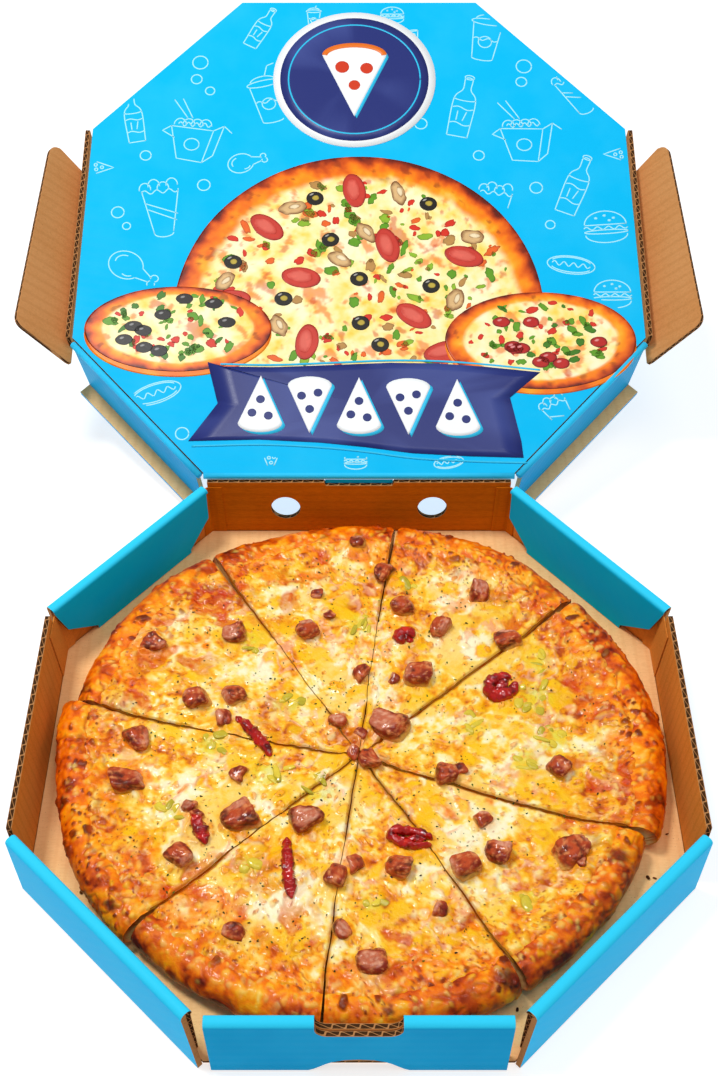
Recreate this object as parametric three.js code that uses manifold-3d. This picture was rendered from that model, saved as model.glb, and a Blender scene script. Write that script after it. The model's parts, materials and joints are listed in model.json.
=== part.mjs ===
// A sliced pizza in an open octagonal box of corrugated board.
//
// Millimetres, +Z up. The origin is the middle of the underside of the tray floor, and +Y points
// to the back wall, where the lid is hinged. The pizza lies on the floor. The lid stands open,
// with a skirt creased to each of its two edges beside the hinge.
import * as THREE from 'three';
import { mergeVertices } from 'three/addons/utils/BufferGeometryUtils.js';
import Module from 'manifold-3d';

const wasm = await Module();
wasm.setup();

// Board
const BOARD = 3; // thickness of one layer of corrugated board
const GAP = 0.3; // room between neighbouring pieces
const SLIT = 0.5; // room between the two layers of a rolled wall
const ROLL_RADIUS = 2.6; // rounding of a rolled wall's top

// Tray: corners of the floor, on the right half, from the back to the front
const BACK_CORNER = [92, 171];
const SIDE_BACK_CORNER = [170.5, 77];
const SIDE_FRONT_CORNER = [170.5, -77];
const FRONT_CORNER = [74, -171];
const WALL_TOP = 43.4; // height of every wall above the table
const FRONT_LEAN = 4.7; // how far the top of the front wall leans in
const DIAGONAL_LEAN = 2.8; // the same for the front diagonal walls
const BACK_DIAGONAL_LEAN = 1.5; // and for the back diagonal walls
const SIDE_END_BOTTOM = 73.8; // half length of a side wall at its foot
const SIDE_END_TOP = 67.6; // half length of a side wall at its top
const FRONT_HALF = 70; // half width of the front wall
const VENT_RADIUS = 9;
const VENT_X = 45;
const VENT_Z = 22.5;
const VENT_STEPS = 14; // steps in half a vent's circle
const HINGE_NOTCH_HALF = 21; // half width of the shallow notch in the back wall's top
const HINGE_NOTCH_DEPTH = 2.5;
const THUMB_NOTCH = { half: 20, depth: 9.5, radius: 6 }; // in the front wall's top
const FOOT_ARCH = { half: 29, height: 11, foot: 12, crown: 10 }; // in the front wall's foot
// The inner layer of a front diagonal stops short of the side wall and of the front wall, and the
// inner flap of a back diagonal has chamfered lower corners. Lengths run from the wall's ends.
const FRONT_LAYER = { sideFoot: 2, sideTop: -3.6, farFoot: 6, farTop: 9 };
const BACK_FLAP = { inset: 22, foot: 6, sideEnd: [2, 21], sideTop: -4.2, farEnd: [4.8, 20.5], farTop: 4.6 };

// Lid: corners on the right half, from the hinge outwards, in the lid's own plane
const LID_NEAR = [93.4, 1];
const LID_LOW = [177, 92];
const LID_HIGH = [172, 243];
const LID_FAR = [77.5, 341.5];
const LID_TAB = { half: 20.5, out: 1.2 }; // tab at the hinge, over the back wall's notch
const HINGE_Y = 175;
const HINGE_Z = 45.5;
const LID_TILT = 20; // degrees above level
const FOLD_GAP = 0.9; // room that a skirt needs to turn on its crease
const SKIRT_DEPTH = 40;
const SKIRT_HEM = 8; // width of the flange at the skirt's foot
const RIB_DEPTH = 12; // the upright strip along each side of the lid
const RIB_GAP = 1.6;
const FLAP_SLOPE = 48; // degrees above the lid's plane
const FLAP_NEAR = { inner: 82, outer: 90, reach: 38 };
const FLAP_FAR = { inner: 217, outer: 223, reach: 27 };
const FLAP_CORNER = 7;

// Pizza
const PIZZA_FLOOR = BOARD + GAP;
const PIZZA_RADIUS = 161.5;
const RIM_HEIGHT = 20;
const DOUGH_HEIGHT = 11; // under the cheese
const CHEESE_TOP = 15.5; // in the middle of the pizza
const LATHE_STEPS = 64;
const KNIFE_WIDTH = 1.3;
const CUT_CENTRE = [0, -9];
// The knife's eight cuts: the direction of each from the centre, in degrees, and how far it bows
const CUTS = [
  { angle: 81.4, bow: 2 },
  { angle: 123.6, bow: -2 },
  { angle: 169.2, bow: 3 },
  { angle: 224.9, bow: -2 },
  { angle: 263.9, bow: -2 },
  { angle: 299, bow: 3 },
  { angle: 339.6, bow: -3 },
  { angle: 398.4, bow: 2 },
];
// How far each slice has slid outwards along its middle
const SLIPS = [0.4, 0.6, 1.4, 0.3, 0.6, 1.0, 1.8, 0.5];

// Toppings: place of each on the pizza, its length and width, and its turn in degrees
const SAUSAGES = [
  { at: [14, 119], size: [14, 9], turn: 65 },
  { at: [-29, 75], size: [14, 11], turn: 35 },
  { at: [25, 93], size: [12, 11], turn: 20 },
  { at: [70, 103], size: [13, 11], turn: 80 },
  { at: [47, 77], size: [12, 9], turn: 60 },
  { at: [33, 44], size: [13, 12], turn: -20 },
  { at: [85, 68], size: [14, 10], turn: 5 },
  { at: [-117, 66], size: [14, 12], turn: -30 },
  { at: [-71, 73], size: [12, 10], turn: 10 },
  { at: [-90, 27], size: [12, 11], turn: 40 },
  { at: [-69, 30], size: [13, 11], turn: 25 },
  { at: [-119, 1], size: [15, 12], turn: -70 },
  { at: [-122, -27], size: [18, 13], turn: 5 },
  { at: [16, 9], size: [19, 14], turn: -30 },
  { at: [46, -22], size: [11, 10], turn: 15 },
  { at: [106, -17], size: [12, 11], turn: -40 },
  { at: [-62, -48], size: [18, 15], turn: 20 },
  { at: [-91, -71], size: [14, 12], turn: -35 },
  { at: [-27, -49], size: [16, 12], turn: 15 },
  { at: [20, -77], size: [15, 12], turn: -20 },
  { at: [54, -77], size: [15, 12], turn: 25 },
  { at: [70, -68], size: [14, 12], turn: -20 },
  { at: [108, -68], size: [15, 14], turn: 10 },
  { at: [6, -129], size: [16, 13], turn: 15 },
];
const PEPPERS = [
  { at: [27, 71], size: [16, 14], turn: -55, bend: 0 },
  { at: [79, 37], size: [22, 19], turn: 30, bend: 0.12 },
  { at: [-56, 4], size: [34, 7], turn: -52, bend: 0.1 },
  { at: [-81, -55], size: [20, 9], turn: -65, bend: 0.08 },
  { at: [-36, -77], size: [37, 8], turn: -84, bend: -0.04 },
  { at: [27, -61], size: [28, 8], turn: -12, bend: -0.25 },
];

// Finishes
const finish = (color, roughness) => new THREE.MeshStandardMaterial({ color, roughness, metalness: 0 });
const KRAFT = finish(0xc39056, 0.85);
const BLUE = finish(0x11a3d8, 0.35);
const PRINT = finish(0x2cc4f5, 0.35);
const CRUST = finish(0xd8791c, 0.6);
const CHEESE = finish(0xf3d67c, 0.4);
const SAUSAGE = finish(0x8a4a2c, 0.4);
const PEPPER = finish(0xbe1a1a, 0.2);

// Only positions stay, shared corners become one, and triangles with no area are dropped.
function weld(geometry) {
  const bare = geometry.index ? geometry.toNonIndexed() : geometry.clone();
  bare.deleteAttribute('normal');
  bare.deleteAttribute('uv');
  const merged = mergeVertices(bare, 1e-3);
  const index = merged.index.array;
  const kept = [];
  for (let i = 0; i < index.length; i += 3) {
    const [a, b, c] = [index[i], index[i + 1], index[i + 2]];
    if (a !== b && b !== c && c !== a) kept.push(a, b, c);
  }
  merged.setIndex(kept);
  return merged;
}

function volume(geometry) {
  const corner = [new THREE.Vector3(), new THREE.Vector3(), new THREE.Vector3()];
  const index = geometry.index.array;
  let sum = 0;
  for (let i = 0; i < index.length; i += 3) {
    corner.forEach((v, k) => v.fromBufferAttribute(geometry.attributes.position, index[i + k]));
    sum += corner[0].dot(corner[1].clone().cross(corner[2]));
  }
  return sum / 6;
}

// A closed geometry as a solid that can be joined and cut, with its faces pointing out.
function solid(geometry) {
  const welded = weld(geometry);
  const triVerts = Uint32Array.from(welded.index.array);
  if (volume(welded) < 0) triVerts.reverse();
  const vertProperties = Float32Array.from(welded.attributes.position.array);
  return new wasm.Manifold(new wasm.Mesh({ numProp: 3, vertProperties, triVerts }));
}

function geometryOf(cutSolid) {
  const { vertProperties, triVerts } = cutSolid.getMesh();
  const geometry = new THREE.BufferGeometry();
  geometry.setAttribute('position', new THREE.BufferAttribute(Float32Array.from(vertProperties), 3));
  geometry.setIndex(Array.from(triVerts));
  return geometry;
}

function mesh(name, geometry, material) {
  const made = new THREE.Mesh(geometry, material);
  made.name = name;
  geometry.computeVertexNormals();
  return made;
}

// Each point of the geometry goes through change(point), which moves it.
function reshape(geometry, change) {
  const position = geometry.attributes.position;
  const point = new THREE.Vector3();
  for (let i = 0; i < position.count; i += 1) {
    point.fromBufferAttribute(position, i);
    change(point);
    position.setXYZ(i, point.x, point.y, point.z);
  }
  return geometry;
}

const outline = (points) => new THREE.Shape(points.map(([x, y]) => new THREE.Vector2(x, y)));
const plate = (shape, thickness, curveSegments = 7) =>
  new THREE.ExtrudeGeometry(shape, { depth: thickness, bevelEnabled: false, curveSegments });

// A wall's own frame has X along the foot of the wall, Y into the tray and Z up. An upright panel
// is an outline in X and Z, with its inner face at the given Y.
const upright = (shape, thickness, innerY, curveSegments) =>
  plate(shape, thickness, curveSegments).rotateX(Math.PI / 2).translate(0, innerY, 0);

// A bar whose section is an outline in Y and Z, running along X.
function bar(section, from, to) {
  const axes = new THREE.Matrix4().makeBasis(
    new THREE.Vector3(0, 1, 0),
    new THREE.Vector3(0, 0, 1),
    new THREE.Vector3(1, 0, 0),
  );
  const geometry = new THREE.ExtrudeGeometry(section, {
    depth: to - from,
    bevelEnabled: false,
    curveSegments: 3,
  });
  return geometry.applyMatrix4(axes).translate(from, 0, 0);
}

// Puts a mesh that is built in a wall's own frame on the edge from start to end. Walking from
// start to end keeps the inside of the outline on the left.
function standOnEdge(made, start, end) {
  made.position.set(start[0], start[1], 0);
  made.rotation.z = Math.atan2(end[1] - start[1], end[0] - start[0]);
  return made;
}

const distance = (start, end) => Math.hypot(end[0] - start[0], end[1] - start[1]);
const mirror = ([x, y]) => [-x, y];
// A wall leans in about the height of the floor's upper face.
const lean = (amount) => (point) => {
  point.y += (amount * (point.z - BOARD)) / (WALL_TOP - BOARD);
};

// Section of a wall that is rolled over: outer layer, rounded top and inner layer.
function rolledSection() {
  const outer = -GAP - BOARD;
  const inner = SLIT - GAP + BOARD;
  const section = new THREE.Shape();
  section.moveTo(outer, 0);
  section.lineTo(outer, WALL_TOP - ROLL_RADIUS);
  section.absarc(outer + ROLL_RADIUS, WALL_TOP - ROLL_RADIUS, ROLL_RADIUS, Math.PI, Math.PI / 2, true);
  section.absarc(inner - ROLL_RADIUS, WALL_TOP - ROLL_RADIUS, ROLL_RADIUS, Math.PI / 2, 0, true);
  section.lineTo(inner, PIZZA_FLOOR);
  section.lineTo(inner - BOARD, PIZZA_FLOOR);
  section.lineTo(inner - BOARD, WALL_TOP - BOARD);
  section.lineTo(-GAP, WALL_TOP - BOARD);
  section.lineTo(-GAP, 0);
  return section;
}

// A cutter is a shape in X and Z that runs from Y = near to Y = far. It starts below the wall,
// ends above it and reaches past its ends.
const cutter = (shape, [near, far]) => solid(upright(shape, far - near, far));
const THROUGH = [-20, 20];
const INNER_LAYER = [SLIT / 2 - GAP, 20];
const BELOW = -1;
const ABOVE = WALL_TOP + 5;
const PAST_END = 15;

function frontWall() {
  const width = 2 * FRONT_HALF;
  const middle = width / 2;
  let wall = solid(bar(rolledSection(), 0, width));

  const { half, depth, radius } = THUMB_NOTCH;
  const notch = new THREE.Shape();
  const bottom = WALL_TOP - depth;
  notch.moveTo(middle - half, ABOVE);
  notch.lineTo(middle - half, bottom + radius);
  notch.absarc(middle - half + radius, bottom + radius, radius, Math.PI, 1.5 * Math.PI, false);
  notch.absarc(middle + half - radius, bottom + radius, radius, 1.5 * Math.PI, 2 * Math.PI, false);
  notch.lineTo(middle + half, ABOVE);

  const arch = new THREE.Shape();
  const [left, right] = [middle - FOOT_ARCH.half, middle + FOOT_ARCH.half];
  const { height, foot, crown } = FOOT_ARCH;
  arch.moveTo(left, BELOW);
  arch.bezierCurveTo(left + foot, BELOW, left + crown, height, middle, height);
  arch.bezierCurveTo(right - crown, height, right - foot, BELOW, right, BELOW);

  for (const shape of [notch, arch]) {
    wall = wall.subtract(cutter(shape, THROUGH));
  }

  const made = mesh('front_wall', reshape(geometryOf(wall), lean(FRONT_LEAN)), BLUE);
  return standOnEdge(made, [-FRONT_HALF, FRONT_CORNER[1]], [FRONT_HALF, FRONT_CORNER[1]]);
}

// Rolled diagonal wall between two corners. The points of a cut run from the side corner, and
// they are turned round on the half of the tray where the wall starts at its other corner.
function diagonalWall(name, start, end, startsAtSide, ends, cuts, leanIn) {
  const length = distance(start, end);
  const along = ([x, z]) => [startsAtSide ? x : length - x, z];
  let wall = solid(bar(rolledSection(), -10, length + 10));
  const rise = (low, top) => low + ((top - low) * ABOVE) / WALL_TOP;
  const sideEnd = [
    [-PAST_END, BELOW],
    [ends.sideLow, BELOW],
    [rise(ends.sideLow, ends.sideTop), ABOVE],
    [-PAST_END, ABOVE],
  ];
  const farEnd = [
    [length + PAST_END, BELOW],
    [length + ends.farLow, BELOW],
    [length + rise(ends.farLow, ends.farTop), ABOVE],
    [length + PAST_END, ABOVE],
  ];
  for (const cut of [sideEnd, farEnd]) {
    wall = wall.subtract(cutter(outline(cut.map(along)), THROUGH));
  }
  for (const cut of cuts) {
    wall = wall.subtract(cutter(outline(cut.map(along)), INNER_LAYER));
  }
  return standOnEdge(mesh(name, reshape(geometryOf(wall), lean(leanIn)), BLUE), start, end);
}

function diagonalWalls() {
  const frontEnds = { sideLow: -1.4, sideTop: -3.6, farLow: 0.5, farTop: -7.9 };
  const frontLength = distance(SIDE_FRONT_CORNER, FRONT_CORNER);
  const fold = WALL_TOP - BOARD;
  const frontCuts = [
    [[-PAST_END, BELOW], [FRONT_LAYER.sideFoot, BELOW], [FRONT_LAYER.sideTop, fold], [-PAST_END, fold]],
    [
      [frontLength + PAST_END, BELOW],
      [frontLength - FRONT_LAYER.farFoot, BELOW],
      [frontLength - FRONT_LAYER.farTop, fold],
      [frontLength + PAST_END, fold],
    ],
  ];
  const backEnds = { sideLow: -1.2, sideTop: -4.2, farLow: -0.4, farTop: -3.4 };
  const backLength = distance(SIDE_BACK_CORNER, BACK_CORNER);
  const { inset, foot, sideEnd, farEnd } = BACK_FLAP;
  const backCuts = [
    [
      [-PAST_END, BELOW],
      [inset, BELOW],
      [inset, foot],
      sideEnd,
      [BACK_FLAP.sideTop, fold],
      [-PAST_END, fold],
    ],
    [
      [backLength + PAST_END, BELOW],
      [backLength - inset, BELOW],
      [backLength - inset, foot],
      [backLength - farEnd[0], farEnd[1]],
      [backLength - BACK_FLAP.farTop, fold],
      [backLength + PAST_END, fold],
    ],
  ];
  const right = [
    ['front_right_wall', FRONT_CORNER, SIDE_FRONT_CORNER, false, frontEnds, frontCuts, DIAGONAL_LEAN],
    ['back_right_wall', SIDE_BACK_CORNER, BACK_CORNER, true, backEnds, backCuts, BACK_DIAGONAL_LEAN],
  ];
  return right.flatMap(([name, start, end, startsAtSide, ends, cuts, leanIn]) => [
    diagonalWall(name, start, end, startsAtSide, ends, cuts, leanIn),
    diagonalWall(
      name.replace('right', 'left'), mirror(end), mirror(start), !startsAtSide, ends, cuts, leanIn,
    ),
  ]);
}

function backWall() {
  const half = BACK_CORNER[0] - 0.6;
  const shape = outline([
    [-half, 0],
    [half, 0],
    [half, WALL_TOP],
    [HINGE_NOTCH_HALF, WALL_TOP],
    [HINGE_NOTCH_HALF - 1, WALL_TOP - HINGE_NOTCH_DEPTH],
    [1 - HINGE_NOTCH_HALF, WALL_TOP - HINGE_NOTCH_DEPTH],
    [-HINGE_NOTCH_HALF, WALL_TOP],
    [-half, WALL_TOP],
  ]);
  for (const side of [-1, 1]) {
    const vent = new THREE.Path();
    vent.absarc(side * VENT_X, VENT_Z, VENT_RADIUS, 0, 2 * Math.PI, false);
    shape.holes.push(vent);
  }
  const made = mesh('back_wall', weld(upright(shape, BOARD, -GAP, VENT_STEPS)), KRAFT);
  made.position.set(0, BACK_CORNER[1], 0);
  made.rotation.z = Math.PI;
  return made;
}

function sideWalls() {
  const shape = outline([
    [-SIDE_END_BOTTOM, 0],
    [SIDE_END_BOTTOM, 0],
    [SIDE_END_TOP, WALL_TOP],
    [-SIDE_END_TOP, WALL_TOP],
  ]);
  return [['right_wall', 1], ['left_wall', -1]].map(([name, side]) => {
    const made = mesh(name, weld(upright(shape, BOARD, -GAP)), KRAFT);
    made.position.set(side * SIDE_BACK_CORNER[0], 0, 0);
    made.rotation.z = (side * Math.PI) / 2;
    return made;
  });
}

function trayFloor() {
  const right = [BACK_CORNER, SIDE_BACK_CORNER, SIDE_FRONT_CORNER, FRONT_CORNER];
  const corners = [...right, ...right.toReversed().map(mirror)];
  return mesh('tray_floor', weld(plate(outline(corners), BOARD)), KRAFT);
}

function lidPanel() {
  const right = [LID_NEAR, LID_LOW, LID_HIGH, LID_FAR];
  const tab = [[-LID_TAB.half, LID_NEAR[1]], [1 - LID_TAB.half, -LID_TAB.out]];
  const corners = [...tab, ...tab.toReversed().map(mirror), ...right, ...right.toReversed().map(mirror)];
  return mesh('lid_panel', weld(plate(outline(corners), BOARD).translate(0, 0, -BOARD / 2)), PRINT);
}

// A skirt hangs from the lid's edge beside the hinge, and a narrow hem stands out from its foot.
function lidSkirt(name, start, end, startsAtHinge) {
  const length = distance(start, end);
  const outer = -FOLD_GAP - BOARD;
  const foot = -SKIRT_DEPTH - BOARD / 2;
  const section = outline([
    [-FOLD_GAP, BOARD / 2],
    [outer, BOARD / 2],
    [outer, foot + BOARD],
    [outer - SKIRT_HEM, foot + BOARD],
    [outer - SKIRT_HEM, foot],
    [-FOLD_GAP, foot],
  ]);
  const along = ([x, z]) => [startsAtHinge ? x : length - x, z];
  const hingeEnd = [[-5, 5], [3, 5], [3, foot - 1], [-5, foot - 1]];
  const farEnd = [[length + 5, 5], [length - 5, 5], [length - 8, foot - 1], [length + 5, foot - 1]];
  let skirt = solid(bar(section, 0, length));
  for (const cut of [hingeEnd, farEnd]) {
    skirt = skirt.subtract(cutter(outline(cut.map(along)), THROUGH));
  }
  return standOnEdge(mesh(name, geometryOf(skirt), BLUE), start, end);
}

// Along each side of the lid runs an upright rib, and from its foot a flap slopes out and up.
function sideFlap(name, side) {
  const length = distance(LID_LOW, LID_HIGH);
  const slope = THREE.MathUtils.degToRad(FLAP_SLOPE);
  const top = BOARD / 2;
  const foot = top - RIB_DEPTH;
  // the flap's plane: X along the lid's edge, Y out from the fold
  const near = FLAP_NEAR.inner - LID_LOW[1];
  const far = FLAP_FAR.inner - LID_LOW[1];
  const corner = [
    [FLAP_NEAR.outer - LID_LOW[1], FLAP_NEAR.reach],
    [FLAP_FAR.outer - LID_LOW[1], FLAP_FAR.reach],
  ];
  const shape = new THREE.Shape();
  shape.moveTo(near, -BOARD);
  shape.lineTo(near, 0);
  shape.lineTo(corner[0][0] - 1, corner[0][1] - FLAP_CORNER);
  shape.quadraticCurveTo(...corner[0], corner[0][0] + FLAP_CORNER, corner[0][1] - 0.5);
  shape.lineTo(corner[1][0] - FLAP_CORNER, corner[1][1] + 0.5);
  shape.quadraticCurveTo(...corner[1], corner[1][0] + 1, corner[1][1] - FLAP_CORNER);
  shape.lineTo(far, 0);
  shape.lineTo(far, -BOARD);
  const flap = plate(shape, BOARD)
    .translate(0, 0, -BOARD)
    .rotateX(slope)
    .translate(0, RIB_GAP + BOARD, foot + BOARD / 2);
  const rib = new THREE.BoxGeometry(length - 2, BOARD, RIB_DEPTH)
    .translate(length / 2, RIB_GAP + BOARD / 2, top - RIB_DEPTH / 2);
  const joined = solid(rib).add(solid(flap).subtract(solid(
    new THREE.BoxGeometry(2 * length, 20, 60).translate(length / 2, RIB_GAP - 10, 0),
  )));
  const geometry = geometryOf(joined);
  if (side > 0) reshape(geometry, (point) => { point.y = -point.y; });
  if (side > 0) geometry.setIndex(Array.from(geometry.index.array).reverse());
  const made = mesh(name, geometry, KRAFT);
  const angle = Math.atan2(LID_HIGH[1] - LID_LOW[1], side * (LID_HIGH[0] - LID_LOW[0]));
  made.position.set(side * LID_LOW[0], LID_LOW[1], 0);
  made.rotation.z = angle;
  return made;
}

function lid() {
  const group = new THREE.Group();
  group.position.set(0, HINGE_Y, HINGE_Z);
  group.rotation.x = THREE.MathUtils.degToRad(LID_TILT);
  group.add(
    lidPanel(),
    lidSkirt('lid_skirt_right', LID_NEAR, LID_LOW, true),
    lidSkirt('lid_skirt_left', mirror(LID_LOW), mirror(LID_NEAR), false),
    sideFlap('side_flap_right', 1),
    sideFlap('side_flap_left', -1),
  );
  return group;
}

// How uneven the pizza's outline is in a direction: a few slow waves, as a share of its radius.
const wobble = (angle) =>
  0.006 * Math.sin(3 * angle + 0.7) + 0.004 * Math.sin(5 * angle + 2.1) + 0.003 * Math.sin(9 * angle);

// Turns a profile of [radius, height] about the pizza's middle, and makes its outline uneven.
function turned(profile) {
  const points = profile.map(([radius, height]) => new THREE.Vector2(radius, height));
  const geometry = new THREE.LatheGeometry(points, LATHE_STEPS).rotateX(Math.PI / 2);
  return solid(reshape(geometry, (point) => {
    const angle = Math.atan2(point.y, point.x);
    const share = Math.min(Math.hypot(point.x, point.y) / PIZZA_RADIUS, 1) ** 3;
    const scale = 1 + wobble(angle) * share;
    point.x *= scale;
    point.y *= scale;
    point.z = PIZZA_FLOOR + point.z * (1 + 8 * wobble(angle + 1.3) * share);
  }));
}

// Profiles, each point a radius and a height: the crust's outside up over its rim, the slope from
// the rim down to the dough under the cheese, and the cheese's top from the rim inwards.
const RIM_LINE = [
  [0, 0],
  [150, 0],
  [157, 2],
  [160.5, 6],
  [PIZZA_RADIUS, 10.5],
  [160, 15],
  [156, 18.6],
  [150.5, RIM_HEIGHT],
  [145, 19.2],
];
const SLOPE_LINE = [[139, 16.4], [131, 12.8], [120, DOUGH_HEIGHT]];
const CHEESE_LINE = [[141.5, 18.2 + GAP], [137, 18.2], [128, 16.6], [112, CHEESE_TOP], [0, CHEESE_TOP]];

const wholeCrust = () => turned([...RIM_LINE, ...SLOPE_LINE, [0, DOUGH_HEIGHT]]);

function wholeCheese() {
  const underside = SLOPE_LINE.map(([radius, height]) => [radius, height + 2 * GAP]).toReversed();
  return turned([[0, DOUGH_HEIGHT + 2 * GAP], ...underside, ...CHEESE_LINE]);
}

// Points of a cut from the centre to past the rim, moved sideways by an offset.
function cutLine({ angle, bow }, offset) {
  const heading = THREE.MathUtils.degToRad(angle);
  const tip = [1.15 * PIZZA_RADIUS * Math.cos(heading), 1.15 * PIZZA_RADIUS * Math.sin(heading)];
  const along = [tip[0] - CUT_CENTRE[0], tip[1] - CUT_CENTRE[1]];
  const length = Math.hypot(...along);
  const left = [-along[1] / length, along[0] / length];
  const shares = [0, 0.25, 0.5, 0.75, 1];
  return shares.map((share) => {
    const aside = offset + 4 * bow * share * (1 - share);
    return [
      CUT_CENTRE[0] + share * along[0] + aside * left[0],
      CUT_CENTRE[1] + share * along[1] + aside * left[1],
    ];
  });
}

// The room that a slice takes between two cuts, as an upright prism.
function wedge(first, second) {
  const turn = THREE.MathUtils.degToRad(second.angle - first.angle) / 2;
  const middle = THREE.MathUtils.degToRad((first.angle + second.angle) / 2);
  const point = KNIFE_WIDTH / 2 / Math.sin(turn);
  const near = cutLine(first, KNIFE_WIDTH / 2).slice(1);
  const far = cutLine(second, -KNIFE_WIDTH / 2).slice(1).toReversed();
  const beyond = 1.4 * PIZZA_RADIUS;
  const shape = outline([
    [CUT_CENTRE[0] + point * Math.cos(middle), CUT_CENTRE[1] + point * Math.sin(middle)],
    ...near,
    [beyond * Math.cos(middle), beyond * Math.sin(middle)],
    ...far,
  ]);
  return solid(plate(shape, 60).translate(0, 0, -10));
}

function slices() {
  const crust = wholeCrust();
  const cheese = wholeCheese();
  return CUTS.flatMap((first, index) => {
    const next = CUTS[(index + 1) % CUTS.length];
    const second = { ...next, angle: next.angle < first.angle ? next.angle + 360 : next.angle };
    const room = wedge(first, second);
    const middle = THREE.MathUtils.degToRad((first.angle + second.angle) / 2);
    const slid = new THREE.Vector3(Math.cos(middle), Math.sin(middle), 0).multiplyScalar(SLIPS[index]);
    const layers = [
      mesh(`crust_${index + 1}`, geometryOf(crust.intersect(room)), CRUST),
      mesh(`cheese_${index + 1}`, geometryOf(cheese.intersect(room)), CHEESE),
    ];
    layers.forEach((layer) => layer.position.copy(slid));
    return layers;
  });
}

// A morsel is pressed a little into the cheese: a rounded block whose foot follows the top of the
// pizza. Squareness runs from 1, an ellipsoid, towards 0, a block; bend curves it along its length.
function morsel(name, { at, size, turn, bend = 0 }, look) {
  const [length, width] = size;
  const block = weld(new THREE.IcosahedronGeometry(1, 1));
  const shaped = (value) => Math.sign(value) * Math.abs(value) ** look.squareness;
  reshape(block, (point) => {
    const lump = 1 + 0.07 * Math.sin(3 * point.x + 5 * point.y + 4 * point.z + at[0]);
    const x = (lump * shaped(point.x) * length) / 2;
    const y = (lump * shaped(point.y) * width) / 2;
    const z = (lump * shaped(point.z) * look.height) / 2;
    point.set(x, y + bend * ((4 * x * x) / length - length / 3), z);
  });
  const rise = PIZZA_FLOOR + CHEESE_TOP + look.height * 0.3;
  block.rotateZ(THREE.MathUtils.degToRad(turn)).translate(at[0], at[1], rise);
  return mesh(name, geometryOf(solid(block).subtract(look.bed)), look.material);
}

function toppings() {
  const bed = turned([...RIM_LINE, ...CHEESE_LINE]).translate([0, 0, 2 * GAP]);
  const sausage = { height: 11, squareness: 0.5, material: SAUSAGE, bed };
  const pepper = { height: 8, squareness: 0.8, material: PEPPER, bed };
  return [
    ...SAUSAGES.map((row, i) => morsel(`sausage_${i + 1}`, row, sausage)),
    ...PEPPERS.map((row, i) => morsel(`pepper_${i + 1}`, row, pepper)),
  ];
}

const pizzaInItsBox = new THREE.Group();
pizzaInItsBox.add(
  trayFloor(),
  backWall(),
  ...sideWalls(),
  ...diagonalWalls(),
  frontWall(),
  lid(),
  ...slices(),
  ...toppings(),
);

export default pizzaInItsBox;
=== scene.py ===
"""A sliced pizza in an open octagonal box of corrugated board.

Lengths are in millimetres until they reach a mesh, which is in metres. The frame has +Z up, +Y to
the hinged back wall and its origin under the middle of the tray.
"""

import json
import math

import bmesh
import bpy
import numpy as np
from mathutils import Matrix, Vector


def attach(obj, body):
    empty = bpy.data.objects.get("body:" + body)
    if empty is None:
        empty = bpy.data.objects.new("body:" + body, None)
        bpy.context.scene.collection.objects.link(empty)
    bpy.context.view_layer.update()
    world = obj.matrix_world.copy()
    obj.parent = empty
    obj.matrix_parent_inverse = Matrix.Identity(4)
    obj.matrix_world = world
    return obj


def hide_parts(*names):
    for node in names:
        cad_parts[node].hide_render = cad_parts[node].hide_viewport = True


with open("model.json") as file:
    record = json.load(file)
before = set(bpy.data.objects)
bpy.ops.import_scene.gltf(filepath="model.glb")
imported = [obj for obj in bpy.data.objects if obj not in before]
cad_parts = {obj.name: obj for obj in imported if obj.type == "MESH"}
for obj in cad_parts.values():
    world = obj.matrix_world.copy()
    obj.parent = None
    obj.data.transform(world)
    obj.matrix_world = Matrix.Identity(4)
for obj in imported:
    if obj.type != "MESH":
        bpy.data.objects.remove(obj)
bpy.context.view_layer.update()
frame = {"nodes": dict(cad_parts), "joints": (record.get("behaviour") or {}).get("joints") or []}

MM = 0.001
TURN = 2 * math.pi

# Board
BOARD = 3.0
FLUTE_PITCH = 6.4
HINGE = np.array(frame["joints"][0]["pos_m"]) / MM
LID_TILT = math.radians(20)
ACROSS = np.array([1.0, 0, 0])
LID_OUT = np.array([0.0, math.cos(LID_TILT), math.sin(LID_TILT)])  # away from the hinge, in the lid
LID_UP = np.array([0.0, -math.sin(LID_TILT), math.cos(LID_TILT)])  # out of the lid's printed face

# Pizza
PIZZA_FLOOR = 3.3
PIZZA_RADIUS = 161.5
CHEESE_RADIUS = 148.5  # where the cheese ends on the rim
STEP = 0.68  # distance between neighbouring points of the baked surface
CUT_CENTRE = np.array([0.0, -9.0])
CUT_REACH = 1.15 * PIZZA_RADIUS
KNIFE_WIDTH = 0.16  # at the middle; a cut opens towards the rim
# Each cut's direction in degrees and its bow
CUTS = [(81.4, 2), (123.6, -2), (169.2, 3), (224.9, -2), (263.9, -2), (299, 3), (339.6, -3), (398.4, 2)]
GAPS = [1.0, 1.5, 0.5, 1.1, 0.6, 1.5, 0.5, 0.9]  # half the opening of each cut at the rim
SLIPS = [0.4, 0.6, 1.4, 0.3, 0.6, 1.0, 1.8, 0.5]  # how far each slice has slid out
# How far each slice's rim stands out at its first and its second cut
STEPS = [(0, 0.5), (0.5, -3.0), (3.0, 0.8), (-0.6, 0), (0, 0.6), (0.6, -2.8), (2.8, 0.5), (-0.6, 0.8)]
SLICE_COUNT = len(CUTS)


# --- Colour and unevenness ---


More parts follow.
